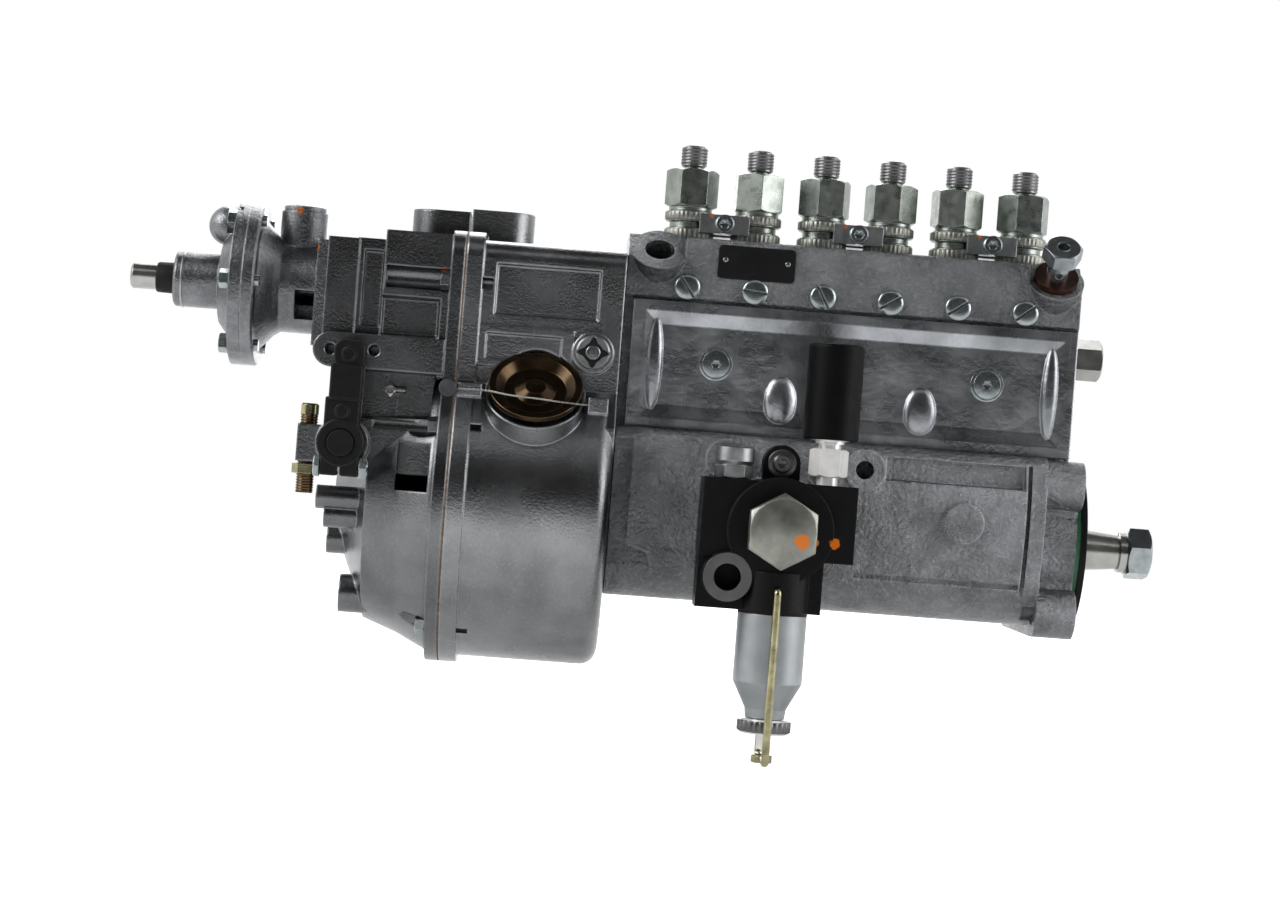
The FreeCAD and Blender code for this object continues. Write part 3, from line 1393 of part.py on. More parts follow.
def feed_pump_body():
    left = "(feed_x - feed_left)"
    forms = [
        cylinder(24, "feed_front - feed_back", "feed_x", "-feed_back", 0, FRONT),
        box(left, "feed_x + feed_right", "-feed_front + 4", "-feed_back", "-feed_arm_floor",
            "feed_top"),
        box(left, "feed_x + 21", "-feed_front + 6", "-feed_back - 6", "-feed_column_floor",
            "-feed_arm_floor + 5"),
        cylinder("bowl_radius + 0.6", 18, "feed_x", "-bowl_offset", "-feed_column_floor"),
        cylinder("inlet_radius", 22, "feed_x - inlet_shift", "-feed_front + 22",
                 "-inlet_height", FRONT),
        cylinder(8.5, 12, "feed_x", "-feed_back", "support_height", FRONT),
        box("feed_x - 8.5", "feed_x + 8.5", "-feed_back - 12", "-feed_back", 10, "support_height"),
    ]
    tools = [
        cylinder("feed_bore + fit_clearance", "feed_front - feed_back - 5", "feed_x",
                 "-feed_back - 5", 0, FRONT),
        cylinder(5, 40, "feed_x", "-feed_back + 10", 0, FRONT),
        cylinder("inlet_bore", 16, "feed_x - inlet_shift", "-feed_front + 15",
                 "-inlet_height", FRONT),
        cylinder(13, 10, "feed_x", "-bowl_offset", "-feed_column_floor - 1"),
        cylinder(5.1, 20, "feed_x - outlet_shift", "-primer_offset", "feed_top - 12"),
        cylinder(5.1, 20, "feed_x + primer_shift", "-primer_offset", "feed_top - 12"),
        cylinder(3.2, 30, "feed_x", "-feed_back + 5", "support_height", FRONT),
        cylinder("bail_wire / 2 + 0.2", 20, "feed_x", "-bail_front + 13.2", "-bail_pivot", FRONT),
        cylinder("bail_wire / 2 + 0.2", 20, "feed_x", "-bail_rear + 9.5", "-bail_pivot", FRONT),
    ]
    return cut(join(*forms), *tools)


def feed_pump_plug():
    nut = hex_nut("feed_plug_flats", "feed_plug_height - 3", z=3, spin=0)
    stem = turned([(0, -7), ("feed_bore", -7), ("feed_bore", 0), (17, 0), (17, 3), (0, 3)])
    return place(join(nut, stem), "feed_x", "-feed_front", 0, FRONT)


def feed_piston():
    return cut(cylinder("feed_bore", 14, "feed_x", "-feed_back - 9.5", 0, FRONT),
               cylinder(7, 12, "feed_x", "-feed_back - 14", 0, FRONT))


def outlet_fitting():
    hexa = hex_nut(15.5, 6)
    stem = turned([(0, -10), (5, -10), (5, 0), (6, 0), (6, 6), (7.6, 6), ("outlet_radius", 8),
                   ("outlet_radius", 14), (7, 14.6), (0, 14.6)])
    fitting = cut(join(hexa, stem), cylinder(3.2, 26, z=-11))
    return place(fitting, "feed_x - outlet_shift", "-primer_offset", "feed_top")


def primer_fitting():
    """Hexagon foot with the pump tube that stands inside the primer's handle."""
    hexa = hex_nut(13, 9.5)
    stem = turned([
        (0, -10), (5, -10), (5, 9), (5.6, 9.5), (5.6, 18.6), (8.6, 18.6), (8.6, 53),
        (3.1, 53), (3.1, 49), (6.1, 49), (6.1, 20.4), (0, 20.4),
    ])
    return place(join(hexa, stem), "feed_x + primer_shift", "-primer_offset", "feed_top")


def primer_handle():
    inner = "(primer_radius - 3.4)"
    return turned([
        (inner, "primer_foot"), ("primer_radius - 0.6", "primer_foot"),
        ("primer_radius", "primer_foot + 0.6"), ("primer_radius", "primer_top - 2"),
        ("primer_radius - 2", "primer_top", 2), (0, "primer_top"), (0, "primer_top - 6"),
        (inner, "primer_top - 6"),
    ], "feed_x + primer_shift", "-primer_offset")


def primer_rod():
    return turned([
        (0, "primer_foot + 0.4"), (6, "primer_foot + 0.4"), (6, "primer_foot + 4.4"),
        (3, "primer_foot + 4.4"), (3, "primer_top - 6"), (0, "primer_top - 6"),
    ], "feed_x + primer_shift", "-primer_offset")


def sediment_bowl():
    inner = "(bowl_radius - bowl_wall)"
    return turned([
        (0, "-bowl_depth"), (9, "-bowl_depth"), (9.5, "-bowl_depth + 4.3"),
        ("bowl_radius", "-bowl_straight"), ("bowl_radius", 0), (inner, 0),
        (inner, "-bowl_straight - 1"), (7.5, "-bowl_depth + 6.5"), (0, "-bowl_depth + 6.5"),
    ], "feed_x", "-bowl_offset", "bowl_top")


def bowl_gasket():
    return tube("bowl_radius", "bowl_radius - 2.6", "bowl_gasket", "feed_x", "-bowl_offset",
                "bowl_top")


def bowl_nut():
    return turned([
        (0, -14), (3, -14), (3, -7), ("bowl_nut_radius - 1", -7), ("bowl_nut_radius", -6),
        ("bowl_nut_radius", -1.3), ("bowl_nut_radius - 1", -0.3), (0, -0.3),
    ], "feed_x", "-bowl_offset", "bowl_floor")


def bail():
    """Wire bail, hooked into both sides of the feed pump and carried round under the bowl."""
    x = value("feed_x")
    pivot = -value("bail_pivot")
    front = -value("bail_front")
    rear = -value("bail_rear")
    low = value("bowl_floor") - 18.6
    route = [
        Vector(x, front + 13, pivot), Vector(x, front, pivot), Vector(x, front, low),
        Vector(x, rear, low), Vector(x, rear, pivot), Vector(x, rear - 9, pivot),
    ]
    wire = along(route, value("bail_wire") / 2, 3)
    bush = cylinder(6, 7.6, "feed_x", "-bowl_offset", low - 3.2)
    return cut(join(wire, bush), cylinder(3.1, 20, "feed_x", "-bowl_offset", low - 8))


SHARED = {"plunger": plunger(), "sleeve": control_sleeve()}


def build():
    piece("pump_housing", pump_housing())
    piece("base_plugs", base_plugs())
    piece("inspection_cover", inspection_cover())
    piece("cover_screws", cover_screws())
    piece("gallery_screws", gallery_screws())
    piece("rack_cap", rack_cap())
    piece("overflow_bolt", overflow_bolt())
    piece("overflow_washers", overflow_washers())
    piece("camshaft", camshaft())
    piece("bearing_outer_rings", bearing_rings("bearing_radius", "bearing_radius - bearing_race"))
    piece("bearing_inner_races", bearing_rings("journal_radius",
                                               "journal_radius - bearing_race + fit_clearance"))
    piece("lock_washer", lock_washer())
    piece("drive_nut", drive_nut())
    piece("drive_end_plate", drive_end_plate())
    piece("end_plate_seal", end_plate_seal())
    piece("shaft_seal", shaft_seal())
    piece("roller_tappets", roller_tappets())
    piece("plunger_springs", plunger_springs())
    piece("barrels", barrels())
    piece("delivery_valves", delivery_valves())
    piece("delivery_holders", delivery_holders())
    piece("holder_clamps", holder_clamps())
    piece("clamp_screws", clamp_screws())
    piece("control_rack", control_rack())
    for number in range(1, ELEMENTS + 1):
        piece(f"pumping_element_{number}", pumping_element(number))
    piece("governor_housing", governor_housing())
    piece("governor_gaskets", governor_gaskets())
    piece("governor_cover", governor_cover())
    piece("casing_screws", casing_screws())
    piece("vent_plug", vent_plug())
    piece("cup_cap", cup_cap())
    piece("lead_seal", lead_seal())
    piece("seal_wire", seal_wire())
    piece("control_lever", control_lever())
    piece("lever_shaft", lever_shaft())
    piece("stop_screws", stop_screws())
    piece("flyweight_carrier", flyweight_carrier())
    piece("flyweight_1", flyweight(1))
    piece("flyweight_2", flyweight(-1))
    piece("governor_sleeve", governor_sleeve())
    piece("compensator_body", compensator_body())
    piece("compensator_cover", compensator_cover())
    piece("boost_rod", boost_rod())
    piece("stub_plug", stub_plug())
    piece("feed_pump_body", feed_pump_body())
    piece("feed_pump_plug", feed_pump_plug())
    piece("feed_piston", feed_piston())
    piece("outlet_fitting", outlet_fitting())
    piece("primer_fitting", primer_fitting())
    piece("primer_handle", primer_handle())
    piece("primer_rod", primer_rod())
    piece("sediment_bowl", sediment_bowl())
    piece("bowl_gasket", bowl_gasket())
    piece("bowl_nut", bowl_nut())
    piece("bail", bail())


def check():
    """Stop before anything is written if an object failed or a piece isn't a valid solid."""
    failed = [thing.Name for thing in doc.Objects
              if any(word in thing.State for word in ("Invalid", "Error"))]
    bad = [thing.Label for thing in PIECES
           if thing.Shape.isNull() or not thing.Shape.isValid() or not thing.Shape.Solids]
    if failed or bad:
        raise RuntimeError(f"failed objects {failed}, bad pieces {bad}")


build()
doc.recompute()
check()
os.makedirs("parts", exist_ok=True)
for thing in PIECES:
    thing.Shape.exportStep(f"parts/{thing.Label}.step")
    print(thing.Label, len(thing.Shape.Solids), "solids", round(thing.Shape.Volume), "mm3")
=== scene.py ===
"""The looks of the in-line injection pump: materials, small parts, floor, light and camera."""
import json
import math

import bmesh
import bpy
from mathutils import Matrix, Vector


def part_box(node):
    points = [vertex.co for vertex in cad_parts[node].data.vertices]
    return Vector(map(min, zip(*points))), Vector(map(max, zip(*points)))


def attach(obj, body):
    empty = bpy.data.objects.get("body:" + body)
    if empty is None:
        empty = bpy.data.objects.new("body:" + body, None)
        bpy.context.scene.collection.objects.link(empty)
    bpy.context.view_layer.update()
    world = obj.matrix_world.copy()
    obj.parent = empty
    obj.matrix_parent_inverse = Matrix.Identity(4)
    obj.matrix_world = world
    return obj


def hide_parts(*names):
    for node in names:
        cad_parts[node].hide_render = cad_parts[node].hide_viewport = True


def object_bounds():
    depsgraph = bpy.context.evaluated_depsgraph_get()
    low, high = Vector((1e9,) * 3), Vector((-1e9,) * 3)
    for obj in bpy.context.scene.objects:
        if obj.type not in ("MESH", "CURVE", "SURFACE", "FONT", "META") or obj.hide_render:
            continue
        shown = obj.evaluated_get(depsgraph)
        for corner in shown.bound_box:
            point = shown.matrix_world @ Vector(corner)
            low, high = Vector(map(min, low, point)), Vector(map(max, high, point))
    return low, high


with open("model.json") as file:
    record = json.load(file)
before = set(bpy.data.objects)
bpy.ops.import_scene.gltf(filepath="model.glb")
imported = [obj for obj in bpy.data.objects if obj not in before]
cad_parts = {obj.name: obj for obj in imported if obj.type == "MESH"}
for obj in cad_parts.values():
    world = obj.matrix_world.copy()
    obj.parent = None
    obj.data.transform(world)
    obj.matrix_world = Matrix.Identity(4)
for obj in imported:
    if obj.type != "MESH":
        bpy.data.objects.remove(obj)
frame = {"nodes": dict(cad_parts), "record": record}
cad_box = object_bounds()

# Directions and places in the part's frame, in metres

ROOT = "pump_body"
UP = Vector((0, 0, 1))
RIGHT = Vector((1, 0, 0))
FRONT = Vector((0, -1, 0))

PITCH = 0.032
ELEMENTS = [-0.035 - PITCH * (5 - index) for index in range(6)]
CLAMPS = [ELEMENTS[0] + PITCH / 2 + 2 * PITCH * index for index in range(3)]
FEED_X = -0.147
FEED_FRONT = -0.085
FEED_TOP = 0.022
BOWL_Y = -0.072
LEVER_X = -0.3478
LEVER_Z = 0.0245
LEVER_BACK = -0.0660
BOOST_END = -0.4375
BOOST_Z = 0.0965
PAINT = (0.55, 0.14, 0.0)


# Node helpers

def new_material(name):
    material = bpy.data.materials.new(name)
    material.use_nodes = True
    tree = material.node_tree
    shader = tree.nodes["Principled BSDF"]
    return material, tree, shader


def add(tree, kind, **settings):
    node = tree.nodes.new(kind)
    for key, setting in settings.items():
        if key in node.inputs:
            node.inputs[key].default_value = setting
        else:
            setattr(node, key, setting)
    return node


def noise(tree, size, detail=3.0, stretch=(1, 1, 1), rough=0.55):
    """Noise whose features are about size metres across, in the part's own frame."""
    place = add(tree, "ShaderNodeTexCoord")
    mapping = add(tree, "ShaderNodeMapping")
    mapping.inputs["Scale"].default_value = [1 / (size * s) for s in stretch]
    tree.links.new(place.outputs["Object"], mapping.inputs["Vector"])
    texture = add(tree, "ShaderNodeTexNoise", Scale=1.0, Detail=detail, Roughness=rough)
    tree.links.new(mapping.outputs["Vector"], texture.inputs["Vector"])
    return texture.outputs["Fac"]


def spread(tree, source, low, high, from_low=0.3, from_high=0.7):
    node = add(tree, "ShaderNodeMapRange")
    node.inputs["From Min"].default_value = from_low
    node.inputs["From Max"].default_value = from_high
    node.inputs["To Min"].default_value = low
    node.inputs["To Max"].default_value = high
    tree.links.new(source, node.inputs["Value"])
    return node.outputs["Result"]


def blend(tree, factor, first, second, mode="MIX"):
    """Mix two colours; each is a colour or a socket."""
    node = add(tree, "ShaderNodeMix", data_type="RGBA", blend_type=mode)
    for socket, source in ((node.inputs[0], factor), (node.inputs[6], first), (node.inputs[7], second)):
        if isinstance(source, bpy.types.NodeSocket):
            tree.links.new(source, socket)
        elif isinstance(source, (int, float)):
            socket.default_value = source
        else:
            socket.default_value = (*source, 1)
    return node.outputs[2]


def shade(color, factor):
    return tuple(min(part * factor, 1) for part in color)


def edge_mask(tree, radius):
    """Near 1 on outside and inside edges, found from how far a rounded normal leans."""
    bevel = add(tree, "ShaderNodeBevel", samples=6)
    bevel.inputs["Radius"].default_value = radius
    plain = add(tree, "ShaderNodeNewGeometry")
    dot = add(tree, "ShaderNodeVectorMath", operation="DOT_PRODUCT")
    tree.links.new(bevel.outputs["Normal"], dot.inputs[0])
    tree.links.new(plain.outputs["Normal"], dot.inputs[1])
    edge_below, flat_above = 0.80, 0.99
    mask = spread(tree, dot.outputs["Value"], 1.0, 0.0, edge_below, flat_above)
    return bevel.outputs["Normal"], mask


def surface(name, color, metallic, rough, rough_swing, grain, grain_depth, stain, stain_size,
            bevel, edge_gain, scratches=0.0, brushed=(1, 1, 1), specular=0.5, painted_glint=0.0, swell=0.0):
    """A procedural finish: stains, grain, scratches, painted glints, rounded edges, and edges lightened
    partly as wear, partly as a painted highlight.

    Grain, stain_size and bevel are lengths in metres, grain_depth and swell the heights of bumps.
    """
    scratch_width, scratch_stretch = 0.0007, (1, 1, 45)
    wear_and_highlight_size = 0.004
    material, tree, shader = new_material(name)
    shader.inputs["Metallic"].default_value = metallic
    shader.inputs["Specular IOR Level"].default_value = specular
    blotches = noise(tree, stain_size, 2)
    tone = blend(tree, spread(tree, blotches, 0, 1), shade(color, 1 - stain), shade(color, 1 + stain))
    fine = noise(tree, grain, 5, brushed, 0.65)
    tone = blend(tree, spread(tree, fine, 0, 0.5 * stain + 0.1), tone, shade(color, 0.55))
    # Painted glints: light specks in the colour that stand in for light glinting off the grain.
    if painted_glint:
        specks = noise(tree, grain * 1.3, 3, (1, 1, 1), 0.7)
        tone = blend(tree, spread(tree, specks, 0, painted_glint, 0.52, 0.68), tone, shade(color, 2.4))
    if scratches:
        lines = noise(tree, scratch_width, 2, scratch_stretch, 0.5)
        mask = spread(tree, lines, 0, scratches, 0.62, 0.72)
        tone = blend(tree, mask, tone, shade(color, 1.7))
    normal, mask = edge_mask(tree, bevel)
    # Edges lightened in colour: partly wear, partly a painted highlight along the edges.
    if edge_gain != 1:
        wear_and_highlight = add(tree, "ShaderNodeMath", operation="MULTIPLY")
        tree.links.new(mask, wear_and_highlight.inputs[0])
        tree.links.new(spread(tree, noise(tree, wear_and_highlight_size, 4), 0.2, 0.9), wear_and_highlight.inputs[1])
        tone = blend(tree, wear_and_highlight.outputs[0], tone, shade(color, edge_gain))
    tree.links.new(tone, shader.inputs["Base Color"])
    clouds = noise(tree, stain_size * 0.8, 1.5)
    roughness = spread(tree, clouds, rough - rough_swing, rough + rough_swing)
    tree.links.new(roughness, shader.inputs["Roughness"])
    if swell:
        waves = add(tree, "ShaderNodeBump", Strength=1.0)
        waves.inputs["Distance"].default_value = swell
        tree.links.new(noise(tree, grain * 4, 1.5), waves.inputs["Height"])
        tree.links.new(normal, waves.inputs["Normal"])
        normal = waves.outputs["Normal"]
    bump = add(tree, "ShaderNodeBump", Strength=1.0)
    bump.inputs["Distance"].default_value = grain_depth
    tree.links.new(fine, bump.inputs["Height"])
    tree.links.new(normal, bump.inputs["Normal"])
    tree.links.new(bump.outputs["Normal"], shader.inputs["Normal"])
    return material


def painted_shade_zone(material, axis, start, end, factor):
    """Painted shade: darken a finish along one axis of the part, fully from end on."""
    tree = material.node_tree
    shader = tree.nodes["Principled BSDF"]
    place = add(tree, "ShaderNodeTexCoord")
    split = add(tree, "ShaderNodeSeparateXYZ")
    tree.links.new(place.outputs["Object"], split.inputs[0])
    share = spread(tree, split.outputs[axis], 0, 1, start, end)
    before = shader.inputs["Base Color"].links[0].from_socket
    shaded_color = blend(tree, 1.0, before, (factor, factor, factor), "MULTIPLY")
    tree.links.new(blend(tree, share, before, shaded_color), shader.inputs["Base Color"])


def painted_spots(material, color, *spots):
    """Dabs of marking paint on a finish, each a place and a radius."""
    ragged, inner, outer = 0.9, 1.35, 1.5
    tree = material.node_tree
    shader = tree.nodes["Principled BSDF"]
    place = add(tree, "ShaderNodeTexCoord")
    wobble = noise(tree, 0.003, 3)
    before = shader.inputs["Base Color"].links[0].from_socket
    metal_before = shader.inputs["Metallic"].default_value
    total = None
    for *spot, size in spots:
        distance = add(tree, "ShaderNodeVectorMath", operation="DISTANCE")
        tree.links.new(place.outputs["Object"], distance.inputs[0])
        distance.inputs[1].default_value = spot
        rough_edge = add(tree, "ShaderNodeMath", operation="MULTIPLY_ADD")
        tree.links.new(wobble, rough_edge.inputs[0])
        rough_edge.inputs[1].default_value = size * ragged
        tree.links.new(distance.outputs["Value"], rough_edge.inputs[2])
        near = spread(tree, rough_edge.outputs[0], 1, 0, size * inner, size * outer)
        if total is None:
            total = near
            continue
        larger = add(tree, "ShaderNodeMath", operation="MAXIMUM")
        tree.links.new(total, larger.inputs[0])
        tree.links.new(near, larger.inputs[1])
        total = larger.outputs[0]
    tree.links.new(blend(tree, total, before, color), shader.inputs["Base Color"])
    if metal_before:
        tree.links.new(spread(tree, total, metal_before, 0, 0, 1), shader.inputs["Metallic"])


# Finishes of the record's material slots

LOOKS = {
    "cast_housing": dict(
        color=(0.21, 0.218, 0.227), metallic=0.95, rough=0.28, rough_swing=0.05, grain=0.0017,
        grain_depth=0.0012, stain=0.28, stain_size=0.016, bevel=0.0013, edge_gain=2.3, painted_glint=0.25,
        swell=0.0011),
    "smooth_cover": dict(
        color=(0.38, 0.395, 0.415), metallic=1.0, rough=0.29, rough_swing=0.06, grain=0.0024,
        grain_depth=0.00012, stain=0.35, stain_size=0.022, bevel=0.0012, edge_gain=1.7,
        scratches=0.30, swell=0.00018),
    "governor_cast": dict(
        color=(0.27, 0.277, 0.285), metallic=1.0, rough=0.26, rough_swing=0.05, grain=0.0012,
        grain_depth=0.00016, stain=0.22, stain_size=0.026, bevel=0.0014, edge_gain=1.9,
        scratches=0.30, painted_glint=0.10),
    "machined_cast": dict(
        color=(0.185, 0.192, 0.200), metallic=0.95, rough=0.25, rough_swing=0.05, grain=0.0014,
        grain_depth=0.00034, stain=0.30, stain_size=0.012, bevel=0.0010, edge_gain=2.4, painted_glint=0.2,
        swell=0.0002),
    "blue_zinc": dict(
        color=(0.34, 0.375, 0.385), metallic=0.95, rough=0.22, rough_swing=0.04, grain=0.0006,
        grain_depth=0.00005, stain=0.18, stain_size=0.004, bevel=0.0003, edge_gain=1.9),
    "pale_zinc": dict(
        color=(0.36, 0.37, 0.375), metallic=0.95, rough=0.33, rough_swing=0.05, grain=0.0005,
        grain_depth=0.00006, stain=0.20, stain_size=0.006, bevel=0.0004, edge_gain=1.8),
    "grey_zinc": dict(
        color=(0.29, 0.295, 0.262), metallic=0.9, rough=0.38, rough_swing=0.05, grain=0.0005,
        grain_depth=0.00006, stain=0.22, stain_size=0.008, bevel=0.0008, edge_gain=1.9,
        brushed=(1, 1, 14)),
    "olive_zinc": dict(
        color=(0.31, 0.335, 0.31), metallic=1.0, rough=0.30, rough_swing=0.05, grain=0.0005,
        grain_depth=0.00006, stain=0.22, stain_size=0.006, bevel=0.0005, edge_gain=1.8),
    "yellow_zinc": dict(
        color=(0.40, 0.375, 0.22), metallic=1.0, rough=0.20, rough_swing=0.05, grain=0.0008,
        grain_depth=0.00004, stain=0.35, stain_size=0.006, bevel=0.0003, edge_gain=1.4),
    "gold_chromate": dict(
        color=(0.062, 0.040, 0.022), metallic=0.95, rough=0.20, rough_swing=0.04, grain=0.001,
        grain_depth=0.00004, stain=0.4, stain_size=0.010, bevel=0.0008, edge_gain=5.0),
    "bright_steel": dict(
        color=(0.42, 0.42, 0.40), metallic=0.95, rough=0.22, rough_swing=0.05, grain=0.0004,
        grain_depth=0.00003, stain=0.15, stain_size=0.01, bevel=0.0003, edge_gain=1.3,
        brushed=(14, 1, 1)),
    "dark_steel": dict(
        color=(0.16, 0.16, 0.165), metallic=0.9, rough=0.35, rough_swing=0.05, grain=0.0005,
        grain_depth=0.00002, stain=0.15, stain_size=0.01, bevel=0.0003, edge_gain=1.5),
    "black_steel": dict(
        color=(0.005, 0.005, 0.0055), metallic=0.0, rough=0.42, rough_swing=0.05, grain=0.0006,
        grain_depth=0.00010, stain=0.3, stain_size=0.01, bevel=0.0006, edge_gain=8.0,
        specular=0.22),
    "black_iron": dict(
        color=(0.0025, 0.0025, 0.0028), metallic=0.0, rough=0.36, rough_swing=0.05, grain=0.0009,
        grain_depth=0.00022, stain=0.3, stain_size=0.012, bevel=0.0009, edge_gain=8.0,
        specular=0.16),
    "nickel": dict(
        color=(0.88, 0.87, 0.85), metallic=0.35, rough=0.16, rough_swing=0.04, grain=0.0006,
        grain_depth=0.00002, stain=0.08, stain_size=0.005, bevel=0.0003, edge_gain=1.1),
    "satin_bowl": dict(
        color=(0.34, 0.36, 0.37), metallic=0.85, rough=0.36, rough_swing=0.04, grain=0.0004,
        grain_depth=0.00006, stain=0.10, stain_size=0.012, bevel=0.0006, edge_gain=1.3),
    "copper": dict(
        color=(0.050, 0.022, 0.015), metallic=0.9, rough=0.34, rough_swing=0.06, grain=0.0006,
        grain_depth=0.00005, stain=0.3, stain_size=0.004, bevel=0.0003, edge_gain=2.4),
    "lead": dict(
        color=(0.050, 0.052, 0.060), metallic=0.4, rough=0.5, rough_swing=0.08, grain=0.0008,
        grain_depth=0.00014, stain=0.25, stain_size=0.003, bevel=0.0004, edge_gain=2.2),
    "gasket_paper": dict(
        color=(0.12, 0.07, 0.035), metallic=0.0, rough=0.7, rough_swing=0.08, grain=0.0004,
        grain_depth=0.00006, stain=0.4, stain_size=0.004, bevel=0.0002, edge_gain=1.2),
    "black_plastic": dict(
        color=(0.002, 0.002, 0.0022), metallic=0.0, rough=0.44, rough_swing=0.05, grain=0.0007,
        grain_depth=0.00008, stain=0.15, stain_size=0.01, bevel=0.0006, edge_gain=3.0,
        specular=0.10),
    "black_rubber": dict(
        color=(0.006, 0.006, 0.006), metallic=0.0, rough=0.6, rough_swing=0.08, grain=0.0006,
        grain_depth=0.00008, stain=0.2, stain_size=0.006, bevel=0.0003, edge_gain=1.6,
        specular=0.2),
    "green_rubber": dict(
        color=(0.012, 0.10, 0.04), metallic=0.0, rough=0.45, rough_swing=0.06, grain=0.0006,
        grain_depth=0.00004, stain=0.2, stain_size=0.006, bevel=0.0003, edge_gain=1.2),
}
FINISHES = {slot: surface(slot, **look) for slot, look in LOOKS.items()}

# Painted shade on two castings, the governor casting leftward of X -0.3 and the housing's upper gallery,
# and dabs of marking paint

painted_shade_zone(FINISHES["governor_cast"], "X", -0.2978, -0.3005, 0.62)
painted_shade_zone(FINISHES["cast_housing"], "Z", 0.096, 0.102, 0.68)
painted_spots(FINISHES["grey_zinc"], PAINT, (FEED_X + 0.0085, -0.100, -0.0040, 0.0033))
painted_spots(FINISHES["black_iron"], PAINT, (FEED_X + 0.0248, -0.083, -0.0040, 0.0032),
              (FEED_X + 0.0155, -0.085, -0.0042, 0.0019))
painted_spots(FINISHES["machined_cast"], shade(PAINT, 0.6), (-0.3800, -0.0100, 0.1325, 0.0018),
              (-0.3701, -0.0240, 0.1150, 0.0018))
painted_spots(FINISHES["governor_cast"], shade(PAINT, 0.5), (-0.3086, -0.0445, 0.1075, 0.0018))
painted_spots(FINISHES["pale_zinc"], shade(PAINT, 0.6),
              *((x - 0.0062, -0.0152, 0.1452, 0.0010) for x in CLAMPS))

for part in frame["record"]["subparts"]:
    materials = frame["nodes"][part["node"]].data.materials
    material = FINISHES[part["material_slot"]]
    if materials:
        for index in range(len(materials)):
            materials[index] = material
    else:
        materials.append(material)


# Mesh helpers

CREASE = math.radians(35)


def finish(thing, slot, body, replaced):
    """Link a piece, give it its finish, attach it to the body it rides on and hide the part it replaces.
    """
    bpy.context.scene.collection.objects.link(thing)
    thing.data.materials.append(FINISHES[slot])
    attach(thing, body)
    if replaced:
        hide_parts(replaced)


def finished_mesh(name, mesh, slot, body=ROOT, replaced=None):
    """Add a bmesh as a piece with soft shading and crisp edges."""
    bmesh.ops.recalc_face_normals(mesh, faces=mesh.faces)
    for face in mesh.faces:
        face.smooth = True
    for edge in mesh.edges:
        edge.smooth = edge.is_manifold and edge.calc_face_angle(0) < CREASE
    data = bpy.data.meshes.new(name)
    mesh.to_mesh(data)
    mesh.free()
    finish(bpy.data.objects.new(name, data), slot, body, replaced)


def new_curve(name, radius=0.0, roundness=4):
    """A curve in space, thickened to a round wire when it has a radius."""
    curve = bpy.data.curves.new(name, "CURVE")
    curve.dimensions = "3D"
    curve.bevel_depth = radius
    curve.bevel_resolution = roundness
    return curve


def add_spline(curve, kind, route):
    """Add a run through the route's points, or for NURBS a smooth one that they pull."""
    spline = curve.splines.new(kind)
    spline.points.add(len(route) - 1)
    for point, place in zip(spline.points, route):
        point.co = (*place, 1)
    spline.order_u = 3
    spline.use_endpoint_u = True


def frame_at(place, axis):
    """Matrix that stands a shape made along Z on a place, along an axis."""
    turn = Vector(axis).to_track_quat("Z", "Y").to_matrix().to_4x4()
    return Matrix.Translation(Vector(place)) @ turn


# Radius functions give how far a ring reaches at an angle

def round_radius(radius):
    return lambda angle: radius


def toothed(radius, depth, teeth):
    """A knurled or serrated rim."""
    return lambda angle: radius + depth * (abs((angle * teeth / math.tau) % 1 - 0.5) * 2 - 1)


def many_sided(sides, flats, turn=0.0):
    """A bar with that many sides and that width across its flats."""
    def radius(angle):
        leaning = (angle + turn) % (math.tau / sides) - math.pi / sides
        return flats / 2 / math.cos(leaning)
    return radius


def turned_hexagon(flats, low, high, turn=0.0):
    """Rings of a hexagon whose corners are turned off at both ends."""
    side = many_sided(6, flats, turn)
    land = 0.48 * flats
    corner = flats / 2 / math.cos(math.pi / 6)
    steps = 4

    def turned_off(reach):
        return lambda angle: min(side(angle), reach)

    bevel = []
    for step in range(steps + 1):
        reach = land + (corner - land) * step / steps
        bevel.append((turned_off(reach), (reach - land) * math.tan(math.pi / 6)))
    return ([(shape, low + height) for shape, height in bevel]
            + [(shape, high - height) for shape, height in reversed(bevel)])


def star(radius, depth):
    """A six-lobed socket."""
    return lambda angle: radius + depth * math.cos(6 * angle)


def join_loops(mesh, loops, closed=False):
    """Faces from each loop of corners to the next, capped at the ends or closed to a ring."""
    pairs = list(zip(loops, loops[1:]))
    if closed:
        pairs.append((loops[-1], loops[0]))
    count = len(loops[0])
    for lower, upper in pairs:
        for step in range(count):
            after = (step + 1) % count
            mesh.faces.new((lower[step], lower[after], upper[after], upper[step]))
    if not closed:
        mesh.faces.new(list(reversed(loops[0])))
        mesh.faces.new(loops[-1])


def skin(mesh, rings, matrix, steps=72, closed=False):
    """Skin over rings, each a radius or a radius function and a height."""
    loops = []
    for radius, height in rings:
        shape = radius if callable(radius) else round_radius(radius)
        loop = []
        for step in range(steps):
            angle = math.tau * step / steps
            reach = shape(angle)
            corner = Vector((reach * math.cos(angle), reach * math.sin(angle), height))
            loop.append(mesh.verts.new(matrix @ corner))
        loops.append(loop)
    join_loops(mesh, loops, closed)


